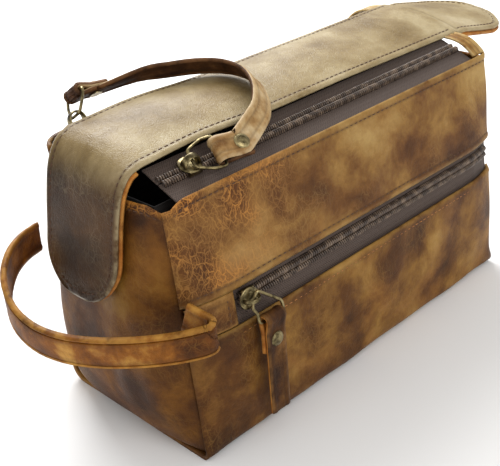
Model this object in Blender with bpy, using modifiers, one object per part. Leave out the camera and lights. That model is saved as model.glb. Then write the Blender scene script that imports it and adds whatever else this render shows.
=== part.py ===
"""A leather toiletry bag: a wrapped body with two end panels, a lid strip between two zips, a zipped
front pocket, a loop handle on the left end and a pull strap that joins the two lid sliders.

+X runs along the bag to its right end, -Y is the front, +Z is up. The origin is the centre of the base.
"""

import math

import bmesh
import bpy
from mathutils import Matrix, Vector

# Body
HALF_LENGTH = 0.125
HALF_DEPTH_BASE = 0.059
HALF_DEPTH_RIM = 0.0495
RIM_HEIGHT = 0.139
REAR_RIM_HEIGHT = 0.147
FRONT_CORNER = 0.006
REAR_CORNER = 0.012
FACE_BULGE = 0.006
LEATHER = 0.002
GAP = 0.0004
END_INSET = 0.0022
LEFT_END_BULGE = 0.017
RIGHT_END_BULGE = 0.005
END_RIM = 0.137
FLAT_REACH = 0.092
PINCH = 0.0105
PINCH_START = 0.104

# Front pocket
SLOT_LOW = 0.068
SLOT_HIGH = 0.0870
SLOT_MIDDLE = 0.0798
PATCH_RIGHT = -0.098
POCKET_DEPTH = 0.0055
POCKET_FLOOR = 0.016
POCKET_HALF_LENGTH = 0.112
PATCH = 0.0016

# Inside
FABRIC = 0.0008
BOARD = 0.002

# Lid strip
LID_LEFT = -0.117
LID_RIGHT = 0.1262
LID_HALF_WIDTH = 0.028
LID_FRONT_HEIGHT = 0.150
LID_REAR_HEIGHT = 0.157
LID_CROWN = 0.0035
LID_SWELL = 0.002
LID_SETTLE = 0.0022
LID_LINING_HALF_WIDTH = 0.0235
TONGUE_BACKING = 0.0018
TONGUE_TIP_RADIUS = 0.024

# Zips: the tape line runs from under the lid's edge to inside the wall's rim
TAPE = 0.0008
TAPE_INNER_Y = 0.0245
FRONT_TAPE_OUTER_Y = 0.0468
REAR_TAPE_OUTER_Y = 0.0460
FRONT_TAPE_OUTER_Z = 0.1372
REAR_TAPE_OUTER_Z = 0.1452
FRONT_TAPE_INNER_Z = 0.1466
REAR_TAPE_INNER_Z = 0.1540
CHAIN_SHARE = 0.47
FRONT_ZIP_LEFT = -0.1155
REAR_ZIP_LEFT = -0.110
ZIP_RIGHT = 0.113
COIL_WIDTH = 0.0032
COIL_HEIGHT = 0.0023
CHAIN_HALF_GAP = 0.0002
END_TAB_LEFT = 0.1145
END_TAB_RIGHT = 0.1240
END_TAB = 0.0018
END_TAB_HEIGHT = 0.0022
TAPE_LAP = 0.006

# Sliders and pulls
SLIDER_LENGTH = 0.0125
SLIDER_HALF_WIDTH = 0.0054
SLIDER_WALL = 0.0012
SLIDER_TAPER = 0.16
SLIDER_FLARE = 1.12
SLIDER_WALL_SHARE = 0.62
PLATE = 0.0012
BRIDGE_HALF_LENGTH = 0.0038
BRIDGE_HEIGHT = 0.0054
LID_BRIDGE_HALF_WIDTH = 0.0017
POCKET_BRIDGE_HALF_WIDTH = 0.0010
BRIDGE_WALL = 0.0010
FRONT_SLIDER_X = -0.097
REAR_SLIDER_X = -0.106
POCKET_SLIDER_X = -0.0905
WIRE = 0.0008
BAR_HEIGHT = 0.0027
RING_NEAR_HALF = 0.0046
RING_FAR_HALF = 0.0081
RING_SHOULDER = 0.42
RING_CORNER = 0.0018
STRAP_WIDTH = 0.013
STRAP = 0.0020
FOLD_RADIUS = WIRE + STRAP / 2 + 0.0008
LAYER_OFFSET = STRAP / 2 + 0.00025
FOLD_TAIL = 0.017
POCKET_TAB_LENGTH = 0.0545
POCKET_TAB_TAIL = 0.019
RIVET_HEAD = 0.0040
RIVET_SHANK = 0.0012
RIVET_DOME = 0.0013
RIVET_GRIP = 2 * STRAP + 0.0009
RIVET_SETBACK = 0.0115

POCKET_RING_REACH = Vector((0.0078, -0.0030, -0.0125))
POCKET_RING_SLANT = Vector((0.42, 0.0, 0.91))

# The pull strap runs from the front ring along the zip, turns over the lid and comes back to the rear ring.
FRONT_BAR = Vector((-0.0815, -0.0400, 0.1480))
REAR_BAR = Vector((-0.1000, 0.0435, 0.1650))
FRONT_BAR_ALONG = Vector((0.0, 0.75, 0.66))
REAR_BAR_ALONG = Vector((0.0, -0.89, 0.45))
STRAP_ROUTE = [
    (-0.0580, -0.0385, 0.1525),
    (-0.0460, -0.0325, 0.1555),
    (-0.0350, -0.0210, 0.1595),
    (-0.0280, -0.0060, 0.1625),
    (-0.0285, 0.0090, 0.1640),
    (-0.0370, 0.0220, 0.1645),
    (-0.0500, 0.0315, 0.1645),
    (-0.0640, 0.0375, 0.1650),
]

# Handle loop on the left end
HANDLE_WIDTH = 0.0165
HANDLE = 0.003

# The handle leaves the front seam forwards, folds back and sweeps round the left end to the rear seam.
HANDLE_ROUTE = [
    (-0.1275, -0.0580, 0.0880),
    (-0.1255, -0.0650, 0.0855),
    (-0.1240, -0.0705, 0.0835),
    (-0.1265, -0.0745, 0.0825),
    (-0.1320, -0.0725, 0.0815),
    (-0.1420, -0.0630, 0.0795),
    (-0.1530, -0.0490, 0.0775),
    (-0.1620, -0.0330, 0.0755),
    (-0.1685, -0.0150, 0.0740),
    (-0.1715, 0.0030, 0.0745),
    (-0.1705, 0.0200, 0.0785),
    (-0.1640, 0.0350, 0.0850),
    (-0.1530, 0.0460, 0.0905),
    (-0.1410, 0.0530, 0.0925),
    (-0.1285, 0.0580, 0.0920),
]

COLLECTION = "toiletry_bag"


def fresh_scene():
    for obj in list(bpy.data.objects):
        bpy.data.objects.remove(obj)
    parts = bpy.data.collections.new(COLLECTION)
    cutters = bpy.data.collections.new("cutters")
    bpy.context.scene.collection.children.link(parts)
    bpy.context.scene.collection.children.link(cutters)
    return parts, cutters


PARTS, CUTTERS = fresh_scene()


def finish_material(name, colour, roughness, metallic=0.0):
    material = bpy.data.materials.new(name)
    material.use_nodes = True
    shader = material.node_tree.nodes["Principled BSDF"]
    shader.inputs["Base Color"].default_value = (*colour, 1.0)
    shader.inputs["Roughness"].default_value = roughness
    shader.inputs["Metallic"].default_value = metallic
    return material


BROWN_LEATHER = finish_material("brown_leather", (0.27, 0.13, 0.045), 0.55)
PALE_LEATHER = finish_material("pale_leather", (0.44, 0.32, 0.2), 0.6)
DARK_LEATHER = finish_material("dark_leather", (0.09, 0.045, 0.025), 0.6)
TAPE_CLOTH = finish_material("tape_cloth", (0.045, 0.026, 0.02), 0.85)
COIL_PLASTIC = finish_material("coil_plastic", (0.03, 0.022, 0.018), 0.45)
LINING_CLOTH = finish_material("lining_cloth", (0.025, 0.022, 0.02), 0.9)
BOARD_FIBRE = finish_material("board_fibre", (0.2, 0.15, 0.1), 0.8)
ANTIQUE_BRASS = finish_material("antique_brass", (0.28, 0.22, 0.11), 0.35, 1.0)


def add_object(name, mesh, material, collection=PARTS):
    obj = bpy.data.objects.new(name, mesh)
    obj.data.materials.append(material)
    collection.objects.link(obj)
    return obj


def stations(low, high):
    """Places along the bag, closer together towards its ends, that every body sheet shares."""
    shared = [HALF_LENGTH * math.sin(math.pi / 16 * k) for k in range(-8, 9)]
    return [low] + [x for x in shared if low + 0.001 < x < high - 0.001] + [high]


def sheet(name, columns, rows, place, thickness, material, side=-1.0):
    """A grid laid on place(u, v), thickened to one side of its normal: -1 behind, 0 centred, 1 in front."""
    grid = bmesh.new()
    bmesh.ops.create_grid(grid, x_segments=columns, y_segments=rows, size=1.0)
    for vertex in grid.verts:
        vertex.co = place((vertex.co.x + 1) / 2, (vertex.co.y + 1) / 2)
    mesh = bpy.data.meshes.new(name)
    grid.to_mesh(mesh)
    grid.free()
    mesh.shade_smooth()
    mesh.set_sharp_from_angle(angle=math.radians(40))
    obj = add_object(name, mesh, material)
    solidify = obj.modifiers.new("thickness", "SOLIDIFY")
    solidify.thickness = thickness
    solidify.offset = side
    return obj


def smooth_route(points, steps):
    """A Catmull-Rom route through points, with steps pieces between each pair."""
    points = [Vector(p) for p in points]
    ends = [2 * points[0] - points[1]] + points + [2 * points[-1] - points[-2]]
    route = []
    for i in range(1, len(ends) - 2):
        a, b, c, d = ends[i - 1 : i + 3]
        for step in range(steps):
            t = step / steps
            route.append(
                0.5 * (2 * b + (c - a) * t + (2 * a - 5 * b + 4 * c - d) * t**2
                       + (3 * b - a - 3 * c + d) * t**3)
            )
    route.append(points[-1])
    return route


def ribbon(name, route, across, width, thickness, material, columns=2):
    """A flat strip along route; across gives the width direction at each point."""
    last = len(route) - 1

    def place(u, v):
        step = round(v * last)
        return route[step] + across[step] * ((u - 0.5) * width)

    return sheet(name, columns, last, place, thickness, material, side=0.0)


def tube(name, points, radius, material, closed=False):
    curve = bpy.data.curves.new(name, "CURVE")
    curve.dimensions = "3D"
    curve.bevel_depth = radius
    curve.bevel_resolution = 2
    curve.use_fill_caps = True
    spline = curve.splines.new("POLY")
    spline.points.add(len(points) - 1)
    for spot, point in zip(spline.points, points):
        spot.co = (*point, 1.0)
    spline.use_cyclic_u = closed
    obj = bpy.data.objects.new(name, curve)
    curve.materials.append(material)
    PARTS.objects.link(obj)
    return obj


def box_mesh(name, low, high):
    bm = bmesh.new()
    bmesh.ops.create_cube(bm, size=1.0)
    low = Vector(low)
    high = Vector(high)
    for vertex in bm.verts:
        vertex.co = Vector((low[i] + (vertex.co[i] + 0.5) * (high[i] - low[i]) for i in range(3)))
    mesh = bpy.data.meshes.new(name)
    bm.to_mesh(mesh)
    bm.free()
    return mesh


def combine(obj, other, operation):
    """other becomes a hidden wire cutter whose shape is joined to, or cut from, obj."""
    other.hide_render = True
    other.display_type = "WIRE"
    boolean = obj.modifiers.new(operation.lower(), "BOOLEAN")
    boolean.operation = operation
    boolean.object = other


# ---------------------------------------------------------------- body surfaces


def half_depth(z):
    return HALF_DEPTH_BASE + (HALF_DEPTH_RIM - HALF_DEPTH_BASE) * z / RIM_HEIGHT


def swell(x, z):
    """How far a filled face stands out: nothing at the base, the rim and the end seams, and even in
    between, so that the pocket slider's track is straight."""
    upright = math.sin(math.pi * min(max(z / RIM_HEIGHT, 0.0), 1.0))
    fade = min(max((abs(x) - FLAT_REACH) / (HALF_LENGTH - FLAT_REACH), 0.0), 1.0)
    return FACE_BULGE * upright * (1 - fade**2)


def rear_pinch(x, z):
    """How far the rear wall is drawn in towards its top left corner, under the left tongue."""
    share = min(max((-x - PINCH_START) / (HALF_LENGTH - PINCH_START), 0.0), 1.0)
    return PINCH * share**3 * max(z / REAR_RIM_HEIGHT, 0.0) ** 1.5


def front_point(x, z, behind):
    return Vector((x, -(half_depth(z) + swell(x, z)) + behind, z))


def front_sheet(name, x_range, z_range, behind, thickness, material, rows=1):
    """A sheet whose front face lies behind the front wall's outer face by the given depth."""
    along = stations(*x_range)
    columns = len(along) - 1

    def place(u, v):
        z = z_range[0] + (z_range[1] - z_range[0]) * v
        return front_point(along[round(u * columns)], z, behind)

    return sheet(name, columns, rows, place, thickness, material)


def corner_arc(centre_y, centre_z, radius, start, end, steps):
    angles = [math.radians(start + (end - start) * i / steps) for i in range(steps + 1)]
    return [(centre_y + radius * math.cos(a), centre_z + radius * math.sin(a)) for a in angles]


def wrap_outline():
    """From the pocket's lower lip down the front, under the base and up the back."""
    front = half_depth(FRONT_CORNER)
    rear = half_depth(REAR_CORNER)
    outline = [(-half_depth(z), z) for z in (SLOT_LOW, 0.052, 0.036, 0.020)]
    outline += corner_arc(-front + FRONT_CORNER, FRONT_CORNER, FRONT_CORNER, 180, 270, 4)
    outline += [(-0.02, 0.0), (0.012, 0.0)]
    outline += corner_arc(rear - REAR_CORNER, REAR_CORNER, REAR_CORNER, 270, 360, 5)
    outline += [(half_depth(z), z) for z in (0.034, 0.056, 0.078, 0.100, 0.123, REAR_RIM_HEIGHT)]
    return outline


def main_wrap():
    outline = wrap_outline()
    last = len(outline) - 1
    along = stations(-HALF_LENGTH, HALF_LENGTH)
    columns = len(along) - 1

    def place(u, v):
        x = along[round(u * columns)]
        y, z = outline[round(v * last)]
        y += math.copysign(swell(x, z), y)
        return Vector((x, y - rear_pinch(x, z) if y > 0 else y, z))

    sheet("main_wrap", columns, last, place, LEATHER, BROWN_LEATHER, side=1.0)


def inner_half_width(z, corner, margin):
    """Half the inner width at height z, inside a rounded bottom corner, less a margin."""
    width = half_depth(z) - margin
    radius = corner - margin
    rise = z - margin
    if rise < radius:
        width -= radius - math.sqrt(max(radius**2 - (radius - rise) ** 2, 0.0))
    return width


def end_panel(name, side, bulge):
    margin = LEATHER + GAP + 0.0006

    def place(u, v):
        z = margin + (END_RIM - margin) * v
        front = -inner_half_width(z, FRONT_CORNER, margin)
        rear = inner_half_width(z, REAR_CORNER, margin) - rear_pinch(side * HALF_LENGTH, z)
        y = front + (rear - front) * u
        fullness = math.sin(math.pi * (0.02 + 0.92 * v**0.75)) ** 0.7 * (1 - (2 * u - 1) ** 4)
        return Vector((side * (HALF_LENGTH - END_INSET + bulge * fullness), y, z))

    sheet(name, 10, 12, place, LEATHER, BROWN_LEATHER, side=-side)


def front_panels():
    whole = (-HALF_LENGTH, HALF_LENGTH)
    slot = (SLOT_LOW + GAP, SLOT_HIGH - GAP)
    front_sheet("front_upper_panel", whole, (SLOT_HIGH, RIM_HEIGHT), 0.0, LEATHER, BROWN_LEATHER, 4)
    front_sheet("pocket_end_patch", (-HALF_LENGTH + 0.001, PATCH_RIGHT), slot, GAP, PATCH, BROWN_LEATHER)


# ---------------------------------------------------------------- pocket zip and pocket bag


def pocket_zip():
    behind = LEATHER + 2 * GAP
    low = SLOT_LOW - TAPE_LAP
    high = SLOT_HIGH + TAPE_LAP
    reach = (-0.120, 0.121)
    front_sheet("pocket_zip_lower_tape", reach, (low, SLOT_MIDDLE - GAP), behind, TAPE, TAPE_CLOTH)
    front_sheet("pocket_zip_upper_tape", reach, (SLOT_MIDDLE + GAP, high), behind, TAPE, TAPE_CLOTH)
    coil = (PATCH_RIGHT + 0.002, 0.119)
    proud = behind - GAP - COIL_HEIGHT
    halves = {
        "pocket_zip_lower_coil": (SLOT_MIDDLE - CHAIN_HALF_GAP - COIL_WIDTH, SLOT_MIDDLE - CHAIN_HALF_GAP),
        "pocket_zip_upper_coil": (SLOT_MIDDLE + CHAIN_HALF_GAP, SLOT_MIDDLE + CHAIN_HALF_GAP + COIL_WIDTH),
    }
    for name, span in halves.items():
        front_sheet(name, coil, span, proud, COIL_HEIGHT, COIL_PLASTIC)


def pocket_bag():
    """A flat pouch behind the front wall, open at the top behind the slot."""
    near = LEATHER + TAPE + 4 * GAP
    far = near + POCKET_DEPTH + 2 * FABRIC
    top = SLOT_LOW - 0.008
    bm = bmesh.new()
    bmesh.ops.create_cube(bm, size=1.0)
    upper = [face for face in bm.faces if face.normal.z > 0.5]
    bmesh.ops.delete(bm, geom=upper, context="FACES_ONLY")
    long_edges = [edge for edge in bm.edges if abs(edge.verts[0].co.x - edge.verts[1].co.x) > 0.5]
    bmesh.ops.subdivide_edges(bm, edges=long_edges, cuts=9, use_grid_fill=True)
    for vertex in bm.verts:
        x = 2 * POCKET_HALF_LENGTH * vertex.co.x
        z = POCKET_FLOOR + (top - POCKET_FLOOR) * (vertex.co.z + 0.5)
        vertex.co = front_point(x, z, near if vertex.co.y < 0 else far)
    mesh = bpy.data.meshes.new("pocket_bag")
    bm.to_mesh(mesh)
    bm.free()
    pouch = add_object("pocket_bag", mesh, LINING_CLOTH)
    walls = pouch.modifiers.new("thickness", "SOLIDIFY")
    walls.thickness = FABRIC
    walls.offset = -1.0


# ---------------------------------------------------------------- inside


def base_board():
    low = (-HALF_LENGTH + 0.008, -0.048, LEATHER + GAP)
    high = (HALF_LENGTH - 0.008, 0.040, LEATHER + GAP + BOARD)
    add_object("base_board", box_mesh("base_board", low, high), BOARD_FIBRE)


def lining():
    """An open fabric box inside the leather, standing clear of the pocket bag at the front."""
    floor = LEATHER + BOARD + 3 * GAP
    top = RIM_HEIGHT - 0.006
    front_room = LEATHER + TAPE + POCKET_DEPTH + 4 * FABRIC + 7 * GAP
    rear_room = LEATHER + 2 * GAP
    half_length = HALF_LENGTH - END_INSET - LEATHER - 2 * GAP
    bm = bmesh.new()
    bmesh.ops.create_cube(bm, size=1.0)
    upper = [face for face in bm.faces if face.normal.z > 0.5]
    bmesh.ops.delete(bm, geom=upper, context="FACES_ONLY")
    upright = [edge for edge in bm.edges if abs(edge.verts[0].co.z - edge.verts[1].co.z) > 0.5]
    bmesh.ops.subdivide_edges(bm, edges=upright, cuts=3, use_grid_fill=True)
    for vertex in bm.verts:
        share = vertex.co.z + 0.5
        z = floor + (top - floor) * share
        inset = 0.014 if share == 0 else 0.0
        room = rear_room if vertex.co.y > 0 else front_room
        depth = half_depth(z) - room - inset
        if vertex.co.x < 0 < vertex.co.y:
            depth -= 0.55 * PINCH * share
        vertex.co = (2 * half_length * vertex.co.x, math.copysign(depth, vertex.co.y), z)
    mesh = bpy.data.meshes.new("lining")
    bm.to_mesh(mesh)
    bm.free()
    box = add_object("lining", mesh, LINING_CLOTH)
    walls = box.modifiers.new("thickness", "SOLIDIFY")
    walls.thickness = FABRIC
    walls.offset = -1.0


# ---------------------------------------------------------------- lid strip and tongues


def lid_height(x, y):
    """The top face of the lid strip: higher at the rear edge, with a crown across and a swell on the left."""
    across = y / LID_HALF_WIDTH
    edge = LID_FRONT_HEIGHT + (LID_REAR_HEIGHT - LID_FRONT_HEIGHT) * (across + 1) / 2
    lift = LID_SWELL * math.exp(-(((x + 0.08) / 0.03) ** 2))
    settle = LID_SETTLE * min(max((x - 0.02) / 0.1, 0.0), 1.0) * (1 - across) / 2
    return edge + LID_CROWN * (1 - across**2) + lift - settle


def lid_sheet(name, x_range, drop, thickness, material, half_width=LID_HALF_WIDTH):
    def place(u, v):
        x = x_range[0] + (x_range[1] - x_range[0]) * u
        y = half_width * (2 * v - 1)
        return Vector((x, y, lid_height(x, y) - drop))

    sheet(name, 12, 6, place, thickness, material)


def tongue_half_width(distance, length):
    """Full width along the tongue, with a round tip."""
    into_tip = distance - (length - TONGUE_TIP_RADIUS)
    if into_tip <= 0:
        return LID_HALF_WIDTH
    reach = min(into_tip / TONGUE_TIP_RADIUS, 0.985)
    return LID_HALF_WIDTH - TONGUE_TIP_RADIUS * (1 - math.sqrt(1 - reach**2))


def tongue(name, side, route, level, depth, thickness, material):
    """A leather tongue that leaves the lid's end along route, set below the outer layer by depth. side is
    -1 for the left end of the bag, and level(y) is the height added across the tongue."""
    lengths = [0.0]
    for a, b in zip(route, route[1:]):
        lengths.append(lengths[-1] + (b - a).length)
    whole = lengths[-1]
    last = len(route) - 1

    def place(u, v):
        step = round(u * last)
        along = (route[min(step + 1, last)] - route[max(step - 1, 0)]).normalized()
        outward = Vector((-along.z, 0, along.x)) * side
        y = side * tongue_half_width(lengths[step], whole) * (2 * v - 1)
        lift = level(y) if side > 0 else level(y) * max(1 - 2 * lengths[step] / whole, 0.0)
        return route[step] + Vector((0, y, lift)) - outward * depth

    return sheet(name, last, 6, place, thickness, material)


def root_level(x):
    """The lid's height at the root across the tongue, measured from its middle."""
    return lambda y: lid_height(x, y) - lid_height(x, 0.0)


LEFT_TONGUE_ROUTE = [
    (LID_LEFT - 0.0014, 0, lid_height(LID_LEFT, 0.0) - 0.0002),
    (-0.1255, 0, 0.1535),
    (-0.1320, 0, 0.1440),
    (-0.1365, 0, 0.1290),
    (-0.1405, 0, 0.1110),
    (-0.1440, 0, 0.0970),
    (-0.1460, 0, 0.0850),
]
RIGHT_TONGUE_ROUTE = [
    (LID_RIGHT + GAP, 0, lid_height(LID_RIGHT, 0.0)),
    (0.142, 0, 0.1532),
    (0.158, 0, 0.1505),
    (0.174, 0, 0.1480),
    (0.189, 0, 0.1455),
]


def tongues():
    left = smooth_route(LEFT_TONGUE_ROUTE, 2)
    right = smooth_route(RIGHT_TONGUE_ROUTE, 3)
    under = LEATHER + GAP
    tongue("left_tongue_face", -1, left, root_level(LID_LEFT), 0.0, LEATHER, DARK_LEATHER)
    tongue("left_tongue_backing", -1, left[1:], root_level(LID_LEFT), under, TONGUE_BACKING, BROWN_LEATHER)
    tongue("right_tongue_face", 1, right, root_level(LID_RIGHT), 0.0, LEATHER, PALE_LEATHER)
    tongue("right_tongue_backing", 1, right, root_level(LID_RIGHT), under, TONGUE_BACKING, BROWN_LEATHER)


# ---------------------------------------------------------------- lid zips


class TapeLine:
    """The slope that one lid zip lies on, front (-1) or rear (+1), from under the lid out to the rim."""

    def __init__(self, side, inner_z, outer_y, outer_z):
        self.side = side
        self.inner = Vector((0, side * TAPE_INNER_Y, inner_z))
        self.outer = Vector((0, side * outer_y, outer_z))
        self.along = (self.outer - self.inner).normalized()
        self.length = (self.outer - self.inner).length
        self.middle = CHAIN_SHARE * self.length
        self.up = Vector((1, 0, 0)).cross(self.along) * side

    def point(self, x, distance, height):
        return Vector((x, 0, 0)) + self.inner + self.along * distance + self.up * height

    def chain_centre(self, x, height=0.0):
        return self.point(x, self.middle, height)


FRONT_LINE = TapeLine(-1, FRONT_TAPE_INNER_Z, FRONT_TAPE_OUTER_Y, FRONT_TAPE_OUTER_Z)
REAR_LINE = TapeLine(1, REAR_TAPE_INNER_Z, REAR_TAPE_OUTER_Y, REAR_TAPE_OUTER_Z)


def zip_strip(name, line, reach, span, height, thickness, material):
    """A flat strip on a tape line, its top face at height above the tape's top face."""

    def place(u, v):
        x = reach[0] + (reach[1] - reach[0]) * u
        return line.point(x, span[0] + (span[1] - span[0]) * v, height)

    sheet(name, 6, 1, place, thickness, material, side=1.0 if line.side < 0 else -1.0)


def lid_zip(word, line, left):
    reach = (left, ZIP_RIGHT)
    middle = line.middle
    inner = (0.0, middle - GAP)
    outer = (middle + GAP, line.length)
    zip_strip(f"{word}_zip_lid_tape", line, reach, inner, 0.0, TAPE, TAPE_CLOTH)
    zip_strip(f"{word}_zip_body_tape", line, reach, outer, 0.0, TAPE, TAPE_CLOTH)
    top = GAP + COIL_HEIGHT
    inner = (middle - CHAIN_HALF_GAP - COIL_WIDTH, middle - CHAIN_HALF_GAP)
    outer = (middle + CHAIN_HALF_GAP, middle + CHAIN_HALF_GAP + COIL_WIDTH)
    zip_strip(f"{word}_zip_lid_coil", line, reach, inner, top, COIL_HEIGHT, COIL_PLASTIC)
    zip_strip(f"{word}_zip_body_coil", line, reach, outer, top, COIL_HEIGHT, COIL_PLASTIC)
    reach = (END_TAB_LEFT, END_TAB_RIGHT)
    span = ((LID_HALF_WIDTH + 2 * GAP - TAPE_INNER_Y) / abs(line.along.y), line.length - 0.001)
    zip_strip(f"{word}_zip_end_tab", line, reach, span, END_TAB_HEIGHT, END_TAB, PALE_LEATHER)


# ---------------------------------------------------------------- sliders, rings and straps


def slider(name, place, bridge_half_width):
    """A slider that straddles the chain: top plate, two side walls and the bridge that holds the ring.
    Local X runs along the zip and local Z stands off the tape."""
    under = 2 * GAP + COIL_HEIGHT
    half = SLIDER_LENGTH / 2
    bm = bmesh.new()
    bmesh.ops.create_cone(bm, cap_ends=True, segments=28, radius1=1.0, radius2=0.9, depth=1.0)
    for vertex in bm.verts:
        narrow = 1 - SLIDER_TAPER * (vertex.co.x + 1) / 2
        vertex.co.x *= half
        vertex.co.y *= SLIDER_HALF_WIDTH * narrow * SLIDER_FLARE
        vertex.co.z = under + PLATE * (vertex.co.z + 0.5)
    mesh = bpy.data.meshes.new(name)
    bm.to_mesh(mesh)
    bm.free()
    body = add_object(name, mesh, ANTIQUE_BRASS)
    body.matrix_world = place
    for side in (-1, 1):
        inside = COIL_WIDTH + CHAIN_HALF_GAP + GAP
        faces = sorted((side * inside, side * (inside + SLIDER_WALL)))
        reach = half * SLIDER_WALL_SHARE
        wall = box_mesh(f"{name}_wall", (-reach, faces[0], 2 * GAP), (reach, faces[1], under + PLATE / 2))
        join_local(body, wall, place)
    join_local(body, bridge_mesh(f"{name}_bridge", under + PLATE, bridge_half_width), place)


def bridge_mesh(name, foot, half_width):
    """A flat arch over the middle of the plate, its feet sunk half way into it."""
    steps = 10
    strip = bmesh.new()
    rings = []
    for i in range(steps + 1):
        turn = math.pi * i / steps
        corners = []
        for wall, across in ((0.0, -1), (0.0, 1), (BRIDGE_WALL, 1), (BRIDGE_WALL, -1)):
            x = -(BRIDGE_HALF_LENGTH + wall) * math.cos(turn)
            rise = BRIDGE_HEIGHT - BRIDGE_WALL + wall + PLATE / 2
            z = foot - PLATE / 2 + rise * max(math.sin(turn), 0.0) ** 0.8
            corners.append(strip.verts.new((x, across * half_width, z)))
        rings.append(corners)
    for a, b in zip(rings, rings[1:]):
        for i in range(4):
            strip.faces.new((a[i], a[(i + 1) % 4], b[(i + 1) % 4], b[i]))
    strip.faces.new(rings[0][::-1])
    strip.faces.new(rings[-1])
    bmesh.ops.recalc_face_normals(strip, faces=strip.faces)
    mesh = bpy.data.meshes.new(name)
    strip.to_mesh(mesh)
    strip.free()
    return mesh


def join_local(body, mesh, place):
    piece = add_object(mesh.name, mesh, ANTIQUE_BRASS, CUTTERS)
    piece.matrix_world = place
    combine(body, piece, "UNION")


def track_matrix(origin, across, up):
    """Local X along the zip, local Y across it towards its fixed side, local Z off the tape."""
    matrix = Matrix.Identity(4)
    for i, axis in enumerate((Vector((1, 0, 0)), across, up)):
        matrix.col[i][0:3] = axis
    matrix.col[3][0:3] = origin
    return matrix


def bridge_centre(place):
    return place @ Vector((0, 0, 2 * GAP + COIL_HEIGHT + PLATE + BAR_HEIGHT))


def rounded_loop(corners, radius, steps):
    """A closed route through corners, each cut off by a short curve of about the given radius."""
    route = []
    count = len(corners)
    for i, corner in enumerate(corners):
        before = (corners[i - 1] - corner).normalized() * radius
        after = (corners[(i + 1) % count] - corner).normalized() * radius
        for step in range(steps + 1):
            t = step / steps
            route.append(corner + before * (1 - t) ** 2 + after * t**2)
    return route


def ring(name, near, near_across, far, far_across):
    """A six-sided wire loop: a narrow bar in the bridge (near), shoulders, and a wide bar in the leather."""
    narrow = near_across * RING_NEAR_HALF
    wide = far_across * RING_FAR_HALF
    back = near - far
    shoulder = far + (back - far_across * back.dot(far_across)) * RING_SHOULDER
    corners = [near - narrow, near + narrow, shoulder + wide, far + wide, far - wide, shoulder - wide]
    route = rounded_loop(corners, RING_CORNER, 3)
    return tube(name, route, WIRE, ANTIQUE_BRASS, closed=True)


def fold(bar, across, leave, tail_side, tail):
    """The route of a strap's folded end, from the tail's tip, back to the bar and round it, to where the
    strap lies against its own tail. leave is the strap's direction away from the bar."""
    side = tail_side - leave * tail_side.dot(leave)
    side = (side - across * side.dot(across)).normalized()
    close = LAYER_OFFSET
    open_up = 0.55 * (FOLD_RADIUS - LAYER_OFFSET) + LAYER_OFFSET
    spread = ((tail, close), (RIVET_SETBACK, close), (0.0070, close), (0.0032, open_up))
    points = [bar + leave * distance + side * offset for distance, offset in spread]
    for i in range(7):
        turn = math.radians(30 * i)
        points.append(bar + side * FOLD_RADIUS * math.cos(turn) - leave * FOLD_RADIUS * math.sin(turn))
    points += [bar + leave * distance - side * offset for distance, offset in spread[:0:-1]]
    return points


def rivet(name, centre, axis):
    """A domed cap, a shank and a flat back washer, turned about the axis."""
    grip = RIVET_GRIP
    profile = [
        (0.0, grip / 2 + RIVET_DOME),
        (RIVET_HEAD * 0.55, grip / 2 + RIVET_DOME * 0.88),
        (RIVET_HEAD * 0.88, grip / 2 + RIVET_DOME * 0.5),
        (RIVET_HEAD, grip / 2 + 0.0001),
        (RIVET_SHANK, grip / 2 + 0.0001),
        (RIVET_SHANK, -grip / 2 - 0.0001),
        (RIVET_HEAD * 0.85, -grip / 2 - 0.0001),
        (RIVET_HEAD * 0.85, -grip / 2 - 0.0006),
        (0.0, -grip / 2 - 0.0006),
    ]
    mesh = bpy.data.meshes.new(name)
    edges = [(i, i + 1) for i in range(len(profile) - 1)]
    mesh.from_pydata([(r, 0, h) for r, h in profile], edges, [])
    obj = add_object(name, mesh, ANTIQUE_BRASS)
    screw = obj.modifiers.new("turn", "SCREW")
    screw.steps = 20
    screw.render_steps = 20
    screw.use_merge_vertices = True
    screw.merge_threshold = 0.00001
    screw.use_smooth_shade = True
    obj.matrix_world = Matrix.Translation(centre) @ axis.to_track_quat("Z", "Y").to_matrix().to_4x4()


def pierce(strip, name, centre, axis):
    """Cuts the rivet's hole through both layers of a folded strip."""
    bm = bmesh.new()
    radius = RIVET_SHANK + GAP
    bmesh.ops.create_cone(bm, cap_ends=True, segments=12, radius1=radius, radius2=radius, depth=0.02)
    mesh = bpy.data.meshes.new(name)
    bm.to_mesh(mesh)
    bm.free()
    drill = add_object(name, mesh, ANTIQUE_BRASS, CUTTERS)
    drill.matrix_world = Matrix.Translation(centre) @ axis.to_track_quat("Z", "Y").to_matrix().to_4x4()
    combine(strip, drill, "DIFFERENCE")


def lid_sliders():
    places = {}
    for word, line, x in (("front", FRONT_LINE, FRONT_SLIDER_X), ("rear", REAR_LINE, REAR_SLIDER_X)):
        across = line.up.cross(Vector((1, 0, 0)))
        places[word] = track_matrix(line.chain_centre(x), across, line.up)
        slider(f"{word}_slider", places[word], LID_BRIDGE_HALF_WIDTH)
    return places


def lean(point):
    """The strap's width direction: upright, leaning towards the middle of the loop."""
    centre = Vector((-0.075, 0.0, point.z))
    inward = (centre - point).normalized()
    return (Vector((0, 0, 1)) * 0.78 + inward * 0.62).normalized()


def square(direction, along):
    return (direction - along * direction.dot(along)).normalized()


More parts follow.
